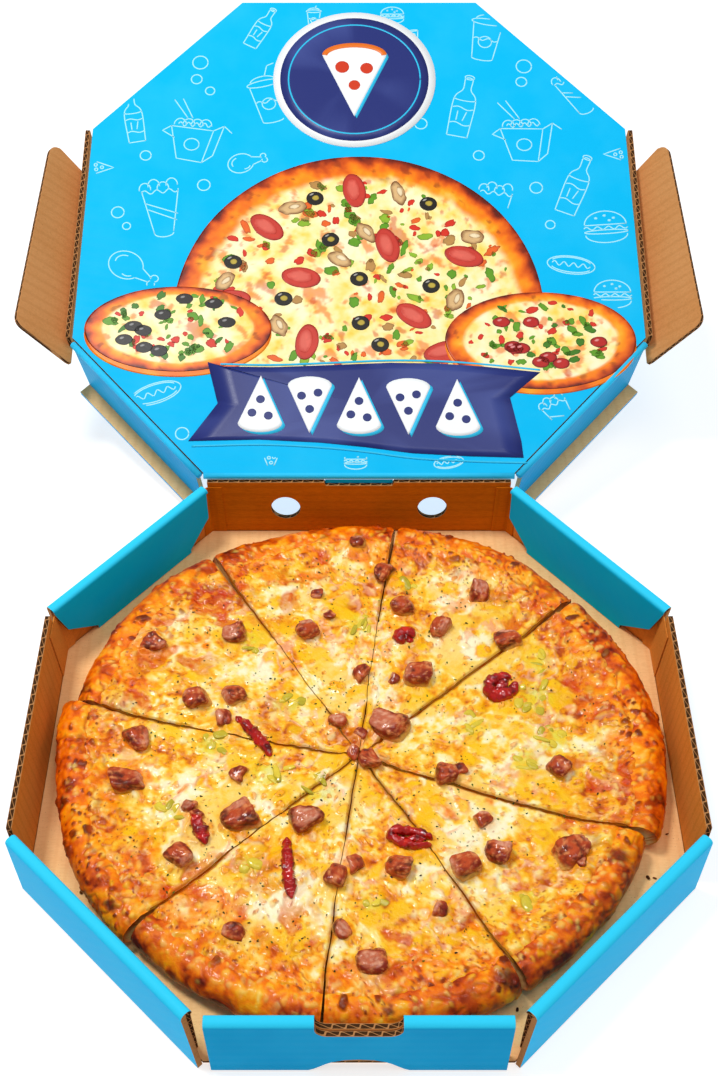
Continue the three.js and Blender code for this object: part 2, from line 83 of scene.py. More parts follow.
def colours(codes):
    """The linear colours of six-digit codes: c/12.92 below 0.04045, ((c + 0.055)/1.055)^2.4 above."""
    value = np.array([[int(code[i : i + 2], 16) / 255 for i in (0, 2, 4)] for code in codes.split()])
    return np.where(value < 0.04045, value / 12.92, ((value + 0.055) / 1.055) ** 2.4)


def colour(code):
    """One linear colour."""
    return colours(code)[0]


def paint(base, over, share):
    """Mixes two colours, or arrays of them: base + share * (over - base)."""
    share = np.asarray(share)[..., None]
    return base + share * (over - base)


def shaded(ramp, value):
    """The colour of a ramp at each value, joined straight between its stops."""
    places, shades = ramp
    return np.stack([np.interp(value, places, shades[:, k]) for k in range(3)], -1)


def ease(value, low, high):
    """0 below low, 1 above high, and 3t^2 - 2t^3 between."""
    t = np.clip((value - low) / (high - low), 0, 1)
    return t * t * (3 - 2 * t)


def lattice(i, j, seed):
    """A repeatable number from 0 to 1 for each lattice point, from multiplied and folded integers."""
    n = (i.astype(np.int64) * 374761393 + j.astype(np.int64) * 668265263 + seed * 974711) & 0xFFFFFFFF
    n = ((n ^ (n >> 13)) * 1274126177) & 0xFFFFFFFF
    return ((n ^ (n >> 16)) & 0xFFFFFF) / 0xFFFFFF


def swell(x, y, size, seed):
    """Smooth noise from -1 to 1: lattice numbers a size apart, blended by 3t^2 - 2t^3."""
    i, j = np.floor(x / size), np.floor(y / size)
    u, v = ease(x / size - i, 0, 1), ease(y / size - j, 0, 1)
    low = lattice(i, j, seed) * (1 - u) + lattice(i + 1, j, seed) * u
    high = lattice(i, j + 1, seed) * (1 - u) + lattice(i + 1, j + 1, seed) * u
    return 2 * (low * (1 - v) + high * v) - 1


def rough(x, y, size, seed, octaves=3):
    """Sum of smooth noises, each half the size and half the height of the one before."""
    total = 0
    for k in range(octaves):
        x, y = 0.8 * x + 0.6 * y, 0.8 * y - 0.6 * x
        total = total + swell(x, y, size / 2**k, seed + 17 * k) / 2**k
    return total / 1.6


def spots(x, y, size, seed):
    """One spot in each lattice cell: distance to the nearest spot's middle in cell sizes, and two
    random numbers that belong to that spot."""
    i, j = np.floor(x / size), np.floor(y / size)
    best = np.full(np.shape(x), 9.0)
    first, second = np.zeros(np.shape(x)), np.zeros(np.shape(x))
    for di in (-1, 0, 1):
        for dj in (-1, 0, 1):
            a, b = i + di, j + dj
            px = a + 0.15 + 0.7 * lattice(a, b, seed)
            py = b + 0.15 + 0.7 * lattice(a, b, seed + 1)
            far = np.hypot(x / size - px, y / size - py)
            near = far < best
            best = np.where(near, far, best)
            first = np.where(near, lattice(a, b, seed + 2), first)
            second = np.where(near, lattice(a, b, seed + 3), second)
    return best, first, second


# --- Lines and shells: shapes as arrays ---


def unit(angle):
    """The plan vector of length one in each direction."""
    return np.stack([np.cos(angle), np.sin(angle)], -1)


def left_of(vectors):
    """Plan vectors turned a quarter to the left."""
    return np.stack([-vectors[..., 1], vectors[..., 0]], -1)


def beside(path):
    """The vector of length one to the left of a plan path at each of its points."""
    run = np.gradient(path, axis=0)
    return left_of(run) / np.maximum(np.linalg.norm(run, axis=1, keepdims=True), 1e-9)


def travelled(path):
    """The length along a path at each of its points."""
    return np.concatenate([[0], np.cumsum(np.linalg.norm(np.diff(path, axis=0), axis=1))])


def lined(points, step):
    """A smooth line through the points, with points a step apart: a Catmull-Rom curve, sampled
    finely and then read at equal lengths."""
    p = np.asarray(points, float)
    p = np.concatenate([[2 * p[0] - p[1]], p, [2 * p[-1] - p[-2]]])
    t = np.linspace(0, 1, 40, endpoint=False)[:, None]
    fine = []
    for a, b, c, d in zip(p, p[1:], p[2:], p[3:]):
        curved = (2 * a - 5 * b + 4 * c - d) * t**2 + (3 * b - a - 3 * c + d) * t**3
        fine.append(0.5 * (2 * b + (c - a) * t + curved))
    fine = np.concatenate(fine + [p[-2][None]])
    length = travelled(fine)
    at = np.linspace(0, length[-1], max(2, int(round(length[-1] / step)) + 1))
    return np.stack([np.interp(at, length, fine[:, k]) for k in range(p.shape[1])], -1)


class Shell:
    """Points, triangles, and for each named quality one value or colour per point."""

    def __init__(self, points, faces, **qualities):
        self.points = np.asarray(points, float).reshape(-1, 3)
        self.faces = np.asarray(faces, np.int64).reshape(-1, 3)
        self.qualities = {k: np.asarray(v, float) for k, v in qualities.items()}

    def welded(self):
        """Points closer than a ten-thousandth become one, and triangles with no area go."""
        keys = np.round(self.points * 1e4).astype(np.int64)
        _, first, place = np.unique(keys, axis=0, return_index=True, return_inverse=True)
        faces = place.reshape(-1)[self.faces]
        a, b, c = faces.T
        kept = faces[(a != b) & (b != c) & (c != a)]
        return Shell(self.points[first], kept, **{k: v[first] for k, v in self.qualities.items()})

    def outward(self):
        """Turns every face round if the volume, the sum of a . (b x c) / 6, is below zero."""
        a, b, c = (self.points[self.faces[:, k]] for k in range(3))
        if np.einsum("ij,ij->", a, np.cross(b, c)) < 0:
            self.faces = self.faces[:, ::-1]
        return self


def joined(shells):
    """Several shells with the same qualities as one."""
    starts = np.cumsum([0] + [len(s.points) for s in shells[:-1]])
    return Shell(
        np.concatenate([s.points for s in shells]),
        np.concatenate([s.faces + start for s, start in zip(shells, starts)]),
        **{k: np.concatenate([s.qualities[k] for s in shells]) for k in shells[0].qualities},
    )


def grid_shell(points, wrap=False, **qualities):
    """A grid of points (rows, columns, 3) with two triangles to a cell. wrap joins the last column to
    the first."""
    rows, columns = points.shape[:2]
    i, j = np.meshgrid(np.arange(rows - 1), np.arange(columns if wrap else columns - 1), indexing="ij")
    a, b = i * columns + j, i * columns + (j + 1) % columns
    c, d = a + columns, b + columns
    faces = np.concatenate([np.stack([a, b, d], -1).reshape(-1, 3), np.stack([a, d, c], -1).reshape(-1, 3)])
    flat = {k: np.reshape(v, (rows * columns,) + np.shape(v)[2:]) for k, v in qualities.items()}
    return Shell(points, faces, **flat)


def tube(rings, **qualities):
    """A closed tube through rings of points, of which the first and the last are single points."""
    return grid_shell(rings, wrap=True, **qualities).welded().outward()


def capped(rings):
    """Rings of points with both ends drawn together into the middle."""
    ends = [end.mean(0) + 0 * end[None] for end in (rings[0], rings[-1])]
    return np.concatenate([ends[0], rings, ends[1]])


def read(rows, quality, width=1, kind=float):
    """One quality of every row of a mesh, as an array."""
    values = np.empty(len(rows) * width, kind)
    rows.foreach_get(quality, values)
    return values.reshape(-1, width) if width > 1 else values


def placed(name, data):
    """An object in the scene that shows the data."""
    made = bpy.data.objects.new(name, data)
    bpy.context.scene.collection.objects.link(made)
    return made


def declared(made, body, slot, stands_for=()):
    """Lets a piece ride on its body and hides the nodes it stands for. slot is not used."""
    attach(made, body)
    if stands_for:
        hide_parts(*stands_for)


def make_object(name, shell, body, slot, material, smooth=True, stands_for=()):
    mesh = bpy.data.meshes.new(name)
    mesh.vertices.add(len(shell.points))
    mesh.vertices.foreach_set("co", (shell.points * MM).astype(np.float32).ravel())
    mesh.loops.add(3 * len(shell.faces))
    mesh.loops.foreach_set("vertex_index", shell.faces.astype(np.int32).ravel())
    mesh.polygons.add(len(shell.faces))
    mesh.polygons.foreach_set("loop_start", np.arange(0, 3 * len(shell.faces), 3, dtype=np.int32))
    mesh.update(calc_edges=True)
    mesh.polygons.foreach_set("use_smooth", np.full(len(shell.faces), smooth))
    for quality, values in shell.qualities.items():
        if values.ndim == 2:
            layer = mesh.attributes.new(quality, "FLOAT_COLOR", "POINT")
            opaque = np.concatenate([values, np.ones((len(values), 1))], axis=1)
            layer.data.foreach_set("color", opaque.astype(np.float32).ravel())
        else:
            layer = mesh.attributes.new(quality, "FLOAT", "POINT")
            layer.data.foreach_set("value", values.astype(np.float32))
    mesh.materials.append(material)
    declared(placed(name, mesh), body, slot, stands_for)


# --- Finishes ---


class Field:
    """A value that changes over a surface. Arithmetic on fields adds Math nodes."""

    def __init__(self, finish, socket):
        self.finish, self.socket = finish, socket

    def _math(self, operation, *values, clamp=False):
        values = dict(enumerate(values))
        return self.finish.node("ShaderNodeMath", values, operation=operation, use_clamp=clamp)

    def __add__(self, other):
        return self._math("ADD", self, other)

    def __sub__(self, other):
        return self._math("SUBTRACT", self, other)

    def __rsub__(self, other):
        return self._math("SUBTRACT", other, self)

    def __mul__(self, other):
        return self._math("MULTIPLY", self, other)

    __radd__ = __add__
    __rmul__ = __mul__

    def sine(self):
        return self._math("SINE", self)

    def size(self):
        return self._math("ABSOLUTE", self)

    def below(self, limit):
        return self._math("LESS_THAN", self, limit)

    def clamped(self):
        return self._math("ADD", self, 0.0, clamp=True)

    def eased(self, low, high):
        """0 below low, 1 above high, smooth between."""
        values = {0: self, 1: low, 2: high}
        return self.finish.node("ShaderNodeMapRange", values, interpolation_type="SMOOTHSTEP", clamp=True)


class Finish:
    """A material under construction."""

    def __init__(self, name):
        self.material = bpy.data.materials.new(name)
        self.material.use_nodes = True
        self.tree = self.material.node_tree
        self.tree.nodes.clear()

    def node(self, kind, values=None, output=0, **settings):
        """Adds a node: its settings first, then a value or a link for each input."""
        made = self.tree.nodes.new(kind)
        for setting, value in settings.items():
            setattr(made, setting, value)
        for key, value in (values or {}).items():
            if isinstance(value, Field):
                self.tree.links.new(value.socket, made.inputs[key])
            elif value is not None:
                wide = made.inputs[key].type == "RGBA"
                made.inputs[key].default_value = (*value, 1) if wide else value
        return Field(self, made.outputs[output]) if made.outputs else made

    def place(self):
        """The point on the piece, in metres, in the frame at rest."""
        return self.node("ShaderNodeTexCoord", output=3)

    def stretched(self, scale):
        """The point on the piece with each direction scaled."""
        return self.node("ShaderNodeMapping", {0: self.place(), 3: scale})

    def quality(self, name):
        """A number that the mesh carries at each point."""
        return self.node("ShaderNodeAttribute", output=2, attribute_name=name)

    def tint(self):
        """The colour that the mesh carries at each point."""
        return self.node("ShaderNodeAttribute", output=0, attribute_name="tint")

    def noise(self, size, detail=3.0, place=None, roughness=0.55):
        """Noise from 0 to 1 with lumps of about this size in millimetres."""
        values = {"Vector": place or self.place(), "Scale": 1 / (size * MM), "Detail": detail}
        return self.node("ShaderNodeTexNoise", {**values, "Roughness": roughness})

    def mixed(self, base, over, share, blend="MIX"):
        """Mixes two colours by a share, through the blend named."""
        values = {0: share, 6: base, 7: over}
        return self.node("ShaderNodeMix", values, output=2, data_type="RGBA", blend_type=blend)

    def bumped(self, height, depth, strength, normal=None):
        """A normal bent by a height from 0 to 1 that stands for this depth in millimetres."""
        values = {"Height": height, "Distance": depth * MM, "Strength": strength, "Normal": normal}
        return self.node("ShaderNodeBump", values)

    def surfaced(self, base, roughness, normal=None, **constants):
        """Ends the material in one shader. Constants are set on the shader's own sockets."""
        values = {"Base Color": base, "Roughness": roughness, "Normal": normal}
        values.update({key.replace("_", " "): value for key, value in constants.items()})
        self.node("ShaderNodeOutputMaterial", {0: self.node("ShaderNodeBsdfPrincipled", values)})
        return self.material


def food_finish(name, gloss, coat, grain, depth):
    """Baked food: the mesh's own colours, mottled by fine grain, with a wet skin and small bumps."""
    f = Finish(name)
    fine = f.noise(grain, 4.0)
    broad = f.noise(4.5 * grain, 2.0)
    shade = f.mixed(f.tint(), (0.72, 0.32, 0.08), (broad - 0.56).clamped() * 1.3, "MULTIPLY")
    shade = f.mixed(shade, (1.0, 0.95, 0.78), (fine - 0.53).clamped() * 1.5, "SOFT_LIGHT")
    roughness = (gloss + f.quality("dry") * 0.35 + (fine - 0.5) * 0.25).clamped()
    normal = f.bumped(broad, 2.2 * depth, 0.5, f.bumped(fine, depth, 0.8))
    varnish = {"Coat_Weight": coat, "Coat_Roughness": 0.09, "Specular_IOR_Level": 0.15}
    return f.surfaced(shade, roughness, normal, **varnish)


def board_finish(name, printed, lifted, kraft):
    """Corrugated board: a printed or bare liner, and at a cut the wave of the flute between two
    liners, y = 0.5 + 0.30 sin(2 pi t / pitch), with painted shade in the hollows beside it. Ink is
    painted paler where the crease quality is set, as a painted highlight.
    kraft is the bare liner's colour, its fibres' and its pale clouds'."""
    f = Finish(name)
    fibres = f.noise(1.1, 5.0, f.stretched((0.25, 1.0, 1.0)), 0.7)
    clouds = f.noise(38.0)
    ridge = (f.quality("along") * (TURN / FLUTE_PITCH)).sine()
    through = f.quality("across") - 0.5
    cut = f.quality("cut")
    inked = f.quality("printed")
    specks = f.noise(0.8, 1.0).eased(0.70, 0.76)
    base, fibre, cloud = colours(kraft)
    bare = f.mixed(base, fibre, fibres.eased(0.35, 0.75) * 0.55)
    bare = f.mixed(bare, cloud, (clouds - 0.35).clamped() * 0.8)
    bare = f.mixed(bare, fibre, ridge.eased(0.2, 1.0) * 0.22)
    bare = f.mixed(bare, colour("5A3416"), specks * 0.35)
    ink = f.mixed(printed, lifted, (clouds - 0.40).clamped() * 0.5)
    # Painted highlight: the paler ink, also used for the print's clouds above, is painted where the mesh's
    # crease quality is set.
    ink = f.mixed(ink, lifted, f.quality("crease"))
    from_wave = (through - ridge * 0.30).size()
    hollow = from_wave.eased(0.07, 0.13) * through.size().below(0.37)
    edge, shadow, worn = colours("B98352 20120A 7A4B26")
    # Painted shade: the hollows beside the flute's wave are painted near black.
    cut_face = f.mixed(edge, shadow, hollow * 0.93)
    cut_face = f.mixed(cut_face, worn, fibres.eased(0.45, 0.8) * 0.6)
    shade = f.mixed(f.mixed(bare, ink, inked), cut_face, cut)
    gloss = 0.78 - inked * (1 - cut) * 0.42 + (fibres - 0.5) * 0.12
    height = fibres * 0.25 + (ridge * 0.5 + 0.5) * (1 - cut) * 0.35 - hollow * cut * 2.0
    return f.surfaced(shade, gloss, f.bumped(height, 0.22, 0.6), Specular_IOR_Level=0.02)


def print_finish(name, gloss=0.36):
    """Varnished ink: the mesh's own colours, faintly uneven."""
    f = Finish(name)
    fine = f.noise(1.4, 4.0)
    shade = f.mixed(f.tint(), (0.5, 0.5, 0.5), (fine - 0.5).clamped() * 0.35, "SOFT_LIGHT")
    normal = f.bumped(f.noise(0.9), 0.05, 0.4)
    return f.surfaced(shade, (fine - 0.5) * 0.15 + gloss, normal, Specular_IOR_Level=0.3)


# --- The pizza's form ---


def wobble(angle):
    """How uneven the outline is in a direction, as a share of the radius: three slow sines."""
    return 0.006 * np.sin(3 * angle + 0.7) + 0.004 * np.sin(5 * angle + 2.1) + 0.003 * np.sin(9 * angle)


def waver(index, s):
    """How far a cut strays to its left at a distance from the centre: two smooth noises."""
    return 0.55 * swell(s, 3.7 * index, 17, 191) + 0.22 * swell(s, 5.3 * index, 4.5, 193)


def opened(index, s):
    """How far a cut shows at a distance from the centre: from 0 where the cheese has run together
    again to 1 where it gapes, by one smooth noise, and always 1 towards the rim."""
    return ease(swell(s, 4.1 * index, 15, 199) + 1.5 * ease(s, 60, 125), -0.1, 0.45)


def parted(index, s):
    """Half the width of a cut at a distance from the centre: the knife's, and more towards the rim."""
    uneven = 0.08 * (1 + swell(s, 2.1 * index, 6, 197))
    return 0.02 + (KNIFE_WIDTH / 2 + uneven) * opened(index, s) + GAPS[index] * ease(s, 90, 170) ** 2


def on_slice(index, radius, t):
    """Plan points of a slice. radius (rows) is measured in the round pizza, and t (columns) runs
    from 0 at one cut to 1 at the next. A point lies at C + s d + a n: d turns from the first cut's
    direction to the second's, a is the cut's bow, 4 b s (1 - s), its waver and half its width, and s
    is where the line from C meets the circle of that radius, made uneven by the wobble and by the
    slice's steps, p (1 - t)^2 + q t^2. Returns the points, their directions, their distances to the
    nearer cut, how far that cut shows, and how far the slice has slid."""
    after = (index + 1) % SLICE_COUNT
    (angle_a, bow_a), (angle_b, bow_b) = CUTS[index], CUTS[after]
    angle_b += 360 if angle_b < angle_a else 0
    along = CUT_REACH * unit(np.radians([angle_a, angle_b])) - CUT_CENTRE
    first, second = np.arctan2(along[:, 1], along[:, 0])
    second += TURN if second < first else 0
    length = np.linalg.norm(along, axis=1)
    turn = first + (second - first) * t[None, :]
    reach = length[0] + (length[1] - length[0]) * t[None, :]
    heading = unit(turn)
    inward = heading @ CUT_CENTRE
    theta = turn + 0 * radius[:, None]
    start = 0.35 / math.sin((second - first) / 2) + 0.2
    stepped = STEPS[index][0] * (1 - t) ** 2 + STEPS[index][1] * t**2
    share = (radius[:, None] / PIZZA_RADIUS) ** 3
    for _ in range(3):
        size = radius[:, None] * (1 + wobble(theta) * share) + stepped * share
        met = np.sqrt(np.maximum(inward**2 + size**2 - CUT_CENTRE @ CUT_CENTRE, 0)) - inward
        s = np.maximum(size + (met - size) * ease(radius[:, None], 15, 70), start)
        bowed = 4 * s / reach * (1 - s / reach)
        first_side = bow_a * bowed + waver(index, s) + parted(index, s)
        second_side = bow_b * bowed + waver(after, s) - parted(after, s)
        aside = (1 - t) * first_side + t * second_side
        plan = CUT_CENTRE + s[..., None] * heading + aside[..., None] * left_of(heading)
        angle = np.arctan2(plan[..., 1], plan[..., 0])
        theta = angle + TURN * np.round((turn - angle) / TURN)
    edge = np.minimum(t, 1 - t)[None, :] * (second - first) * s
    plan[0] = plan[0].mean(0)
    shown = np.where(t < 0.5, opened(index, s), opened(after, s))
    slid = SLIPS[index] * unit(math.radians((angle_a + angle_b) / 2))
    return plan, theta, edge, shown, slid


def tall(theta, radius):
    """How much higher the rim stands in a direction: 1 + 8 wobble(theta + 1.3) (r / R)^3."""
    return 1 + 8 * wobble(theta + 1.3) * np.minimum(radius / PIZZA_RADIUS, 1.05) ** 3


# The cheese's top from the middle up over the rim, the dough from the middle up over the rim and
# down its outside, each point a radius and a height above the floor
CHEESE_LINE = [(0, 15.4), (60, 15.4), (112, 15.5), (128, 16.5), (138, 18.3), (146, 20.0), (152, 20.2)]
DOUGH_LINE = [(0, 11.4), (118, 11.4), (128, 12.4), (136, 15.0), (142, 18.0), (148, 19.7), (153, 19.6)]
SIDE_LINE = [(157.5, 17.6), (160.6, 14.2), (161.5, 10.2), (160.6, 6.0), (157.6, 2.3), (153, 0.3)]


def height_on(line, radius):
    """The height of a profile at a radius."""
    fine = lined(line, 1.0)
    return np.interp(radius, fine[:, 0], fine[:, 1])


# --- The baked surface ---

CREAM, PALE, BUTTER, GOLD, AMBER, ORANGE = colours("FFF2B8 FFE48C FFD250 FFC400 FF9E04 EE7404")
PEACH, TOAST, SAUCE, LIME, BROWN, BURNT = colours("F8B084 C04404 D22E02 D8D838 7C2002 340C02")
CHEESE_RAMP = (
    (0.00, 0.14, 0.28, 0.42, 0.54, 0.66, 0.80, 1.00),
    colours("B44804 DC7804 F4980A FDB41E FFC636 FFDC66 FFEC9C FFF6CA"),
)
RIM_RAMP = (
    (0.00, 0.14, 0.32, 0.52, 0.72, 0.88, 1.00),
    colours("5E1402 9A2C00 D65200 F67600 FF9602 FFB026 FFD06A"),
)
BURNT_PATCHES = [(131, -71, 7), (71, -138, 9), (-152, 33, 6), (-40, 153, 5), (-120, -100, 5), (14, -154, 4)]


class Skin:
    """The relief, in millimetres, and the colour of a baked surface, laid on layer by layer."""

    def __init__(self, relief, tint):
        self.relief, self.tint = relief, tint

    def lay(self, share, base, over, blend, strength, rise=0.0):
        """Lifts the surface by rise times the share, and paints it with a blend of two colours."""
        self.relief = self.relief + rise * share
        self.tint = paint(self.tint, paint(base, over, blend), share * strength)

    def blister(self, cells, share, widths, uneven, where, rise):
        """Burnt blisters, from widths[0] to the sum of the widths, in a share of the cells."""
        far, pick, other = cells
        wide = widths[0] + widths[1] * other**1.6
        burnt = (pick < share) * (1 - ease(far + uneven, wide - 0.10, wide + 0.07)) * where
        self.lay(burnt, TOAST, BURNT, ease(burnt, 0.3, 1.0) * (0.3 + 0.5 * other), 0.95, rise)
        return burnt


def baked_top(x, y):
    """Relief in millimetres, colour and dryness of the cheese at plan points. The colour runs along a
    ramp by noise from 27 to 1 mm across, darker towards the rim. Smooth pools of gold, curds, threads
    of peach, fried rings, sauce and blisters lie over it, each one a noise or a field of spots above
    a limit that moves with the distance from the middle."""
    bend_x, bend_y = x + 3.5 * rough(x, y, 11, 5), y + 3.5 * rough(x, y, 11, 9)

    def plain(size, seed, octaves=2):
        return rough(x, y, size, seed, octaves)

    def bent(size, seed, octaves=3):
        return rough(bend_x, bend_y, size, seed, octaves)

    def spotted(size, seed, shift=0):
        return spots(bend_x + shift, bend_y, size, seed)

    radius = np.hypot(x, y)
    fine = plain(2.2, 31)
    middle = bent(5.6, 35)
    zone = bent(27, 21, 2)
    bake = ease(radius + 10 * plain(19, 12), 98, 148)
    pool = ease(bent(15, 45) + 0.2 * zone, 0.14, 0.36) * (1 - 0.6 * bake)
    calm = 1 - 0.65 * pool
    shade = 0.69 + 0.60 * zone + (0.52 * middle + 0.28 * fine) * calm - 0.30 * bake
    skin = Skin(0.8 * plain(24, 3, 3) + (0.50 * middle + 0.26 * fine) * calm, shaded(CHEESE_RAMP, shade))

    thread = 1 - np.abs(bent(8.5, 51)) * 3.0
    peach = ease(thread, 0.3, 0.9) * ease(plain(23, 55), -0.2, 0.2) * calm
    skin.lay(peach, PEACH, CREAM, ease(fine, -0.1, 0.5) * 0.7, 0.75 - 0.25 * bake, 0.55)

    curd, pick, other = spotted(7.0, 41)
    lump = (pick > 0.6) * (1 - ease(curd + 0.08 * fine, 0.14, 0.46)) * calm
    skin.lay(lump, PALE, CREAM, other, (0.6 - 0.45 * bake) * (other > 0.35), 0.6)
    skin.lay(pool, GOLD, BUTTER, ease(zone + 0.5 * fine, 0.0, 0.5), 0.80, 0.35)
    for px, py, reach, _ in PICKLES:
        stained = 1 - ease(np.hypot(x - px, y - py) + 4 * middle, 0.2 * reach, 1.25 * reach)
        skin.lay(stained, LIME, LIME, 0.0, 0.42 + 0.3 * fine)

    blob, pick, other = spotted(15.0, 61)
    edge = blob + 0.05 * fine
    wide = 0.16 + 0.22 * other
    gold = (pick < 0.36) * (1 - ease(edge, wide - 0.13, wide + 0.07))
    brim = gold * ease(edge + 0.12 * middle, wide - 0.16, wide + 0.02)
    dome = np.sqrt(np.clip(1 - (edge / (wide + 0.03)) ** 2, 0, 1))
    skin.relief = skin.relief * (1 - 0.4 * gold)
    skin.lay(gold, GOLD, ORANGE, np.clip(0.8 * brim + 0.3 * fine, 0, 1), 0.55 + 0.40 * other, 0.8 * dome)

    small, pick, other = spotted(6.2, 71, 40)
    wide = 0.12 + 0.20 * other
    dab = (pick < 0.34 + 0.26 * bake) * (1 - ease(small + 0.16 * fine, wide - 0.06, wide + 0.06))
    fried = dab * ease(small + 0.16 * fine, wide - 0.12, wide - 0.02)
    skin.relief = skin.relief + 0.2 * fried
    skin.lay(dab, AMBER, TOAST, fried * (0.5 + 0.5 * other), 0.66 + 0.3 * bake, 0.4)

    glow = ease(bent(10, 81) + 0.95 * bake, 0.42, 1.0)
    warm = shaded(RIM_RAMP, 0.62 + 0.42 * middle + 0.24 * fine + 0.2 * plain(13, 83))
    skin.lay(glow, warm, warm, 0.0, 0.9)
    knob, pick, other = spotted(4.6, 87)
    skin.lay(bake * (pick > 0.5) * (1 - ease(knob, 0.15, 0.48)), GOLD, PALE, other * 0.9, 0.5, 0.5)

    wet = bent(13, 91) + 0.22 * np.sin(3.1 * np.arctan2(y, x) + 1.0)
    sauce = ease(wet, 0.30, 0.55) * ease(radius, 82, 116) * (1 - 0.5 * ease(radius, 140, 152))
    skin.lay(sauce, SAUCE, ORANGE, ease(fine + middle, -0.3, 0.8), 0.72, -0.5)

    speck, pick, other = spotted(2.7, 101)
    toast = (pick < 0.17 + 0.14 * bake) * (1 - ease(speck + 0.1 * fine, 0.08, 0.16 + 0.2 * other))
    skin.lay(toast, TOAST, BROWN, other * (0.3 + 0.7 * bake), 0.62 + 0.3 * bake, 0.15)

    crowd = ease(plain(23, 119), -0.30, 0.15) * ease(radius + 7 * plain(12, 117), 122, 146)
    for size, seed, share in ((7.6, 111, 0.42), (4.1, 115, 0.34)):
        uneven = 0.14 * fine + 0.10 * middle
        skin.blister(spotted(size, seed), share, (0.10, 0.26), uneven, crowd, 0.12 * size)

    crack = 1 - np.abs(bent(9.0, 121, 2)) * 3.6
    vein = ease(crack, 0.25, 1.0) * ease(radius, 108, 142) * ease(plain(15, 125), -0.10, 0.30)
    skin.lay(vein, TOAST, BROWN, 0.6 * ease(fine, -0.4, 0.5), 0.62, -0.45)
    for px, py, size in BEDS:
        far = np.hypot(x - px, y - py) + 1.2 * middle
        near = np.exp(-(((far - 0.9 * size) / 2.4) ** 2))
        skin.lay(near, AMBER, TOAST, ease(fine, 0.0, 0.5), 0.42, 1.3)
    dry = np.clip(0.2 * bake + 0.2 * fine - 0.3 * gold - 0.3 * pool - 0.4 * sauce, 0, 1)
    return skin.relief, skin.tint, dry


def baked_rim(x, y, around, over):
    """Relief, colour and dryness of the bread at the rim. around is the length round the pizza, and
    over the length over the rim from its inner foot to its underside. The colour runs along a ramp
    by noise, browner on the shoulder. Knobs, blisters, wrinkles and a few burnt patches lie on it."""
    fine = rough(around, over, 2.2, 131, 2)
    bend, turn = over + 3 * rough(around, over, 10, 133), around + 3 * rough(around, over, 10, 135)
    middle = rough(turn, bend, 5.5, 136)
    shoulder = ease(over, 22, 32) * (1 - ease(over, 37, 46))
    foot = ease(over, 42, 56)
    coated = 1 - ease(over + 4 * middle, 22, 34)
    shade = 0.56 + 0.42 * rough(turn, bend, 15, 139, 2) + 0.36 * middle + 0.18 * fine
    shade = shaded(RIM_RAMP, shade - 0.20 * shoulder - 0.08 * foot)
    skin = Skin(0.9 * rough(around, over, 21, 137) + 0.35 * middle + 0.2 * fine, shade)

    knob, pick, other = spots(turn, bend, 4.8, 141)
    skin.lay(coated * (pick > 0.45) * (1 - ease(knob, 0.15, 0.5)), GOLD, PALE, other * 0.7, 0.6, 0.5)
    bubbled = 0
    crowd = ease(rough(around, over, 25, 157, 2), -0.30, 0.15) * (1 - ease(over, 34, 48))
    for size, seed, share in ((8.0, 149, 0.46), (4.3, 155, 0.38)):
        cells, uneven = spots(turn, bend, size, seed), 0.15 * fine + 0.10 * middle
        bubbled = bubbled + skin.blister(cells, share, (0.09, 0.28), uneven, crowd, 0.13 * size)

    crack = 1 - np.abs(rough(turn, bend * 1.5, 10, 151, 2)) * 3.4
    wrinkle = ease(crack, 0.25, 1.0) * ease(rough(around, over, 15, 153, 2), -0.3, 0.2) * (1 - 0.8 * foot)
    skin.lay(wrinkle, TOAST, BROWN, 0.7 * ease(fine, -0.4, 0.5), 0.70, -0.55)
    for px, py, wide in BURNT_PATCHES:
        near = 1 - ease(np.hypot(x - px, y - py) + 4 * middle, 0.2 * wide, wide)
        skin.lay(near, BROWN, BURNT, ease(fine, -0.6, 0.4), 0.85)
    dry = np.clip(0.25 + 0.3 * fine + 0.35 * foot - 0.3 * bubbled, 0, 1)
    return skin.relief, skin.tint, dry


def crumb(points, depth):
    """Relief and colour of a cut. depth is 0 at the top and 1 at the underside: a toasted skin, pale
    crumb with open holes painted darker as painted shade, and a brown base."""
    along, high = points[..., 0] + points[..., 1], points[..., 2] * 2
    hole, pick, _ = spots(along, high, 3.4, 161)
    hollow = (pick < 0.6) * (1 - ease(hole, 0.12, 0.34))
    light, dark, toasted, base = colours("F6CE8C D08C3C E0762A A85A20")
    # Painted shade: the holes are painted darker than the crumb.
    tint = paint(light, dark, hollow)
    tint = paint(tint, toasted, 1 - ease(depth, 0.05, 0.20))
    relief = 0.22 * rough(along, high, 2.4, 163, 2) - 0.35 * hollow
    return relief, paint(tint, base, ease(depth, 0.84, 0.97))


RIM_FOOT = 128.2  # length along the dough's line from the middle to the inner foot of the rim
COARSE = 8  # columns of the top to one column of the underside
LEVELS = 5  # rows of points down a cut


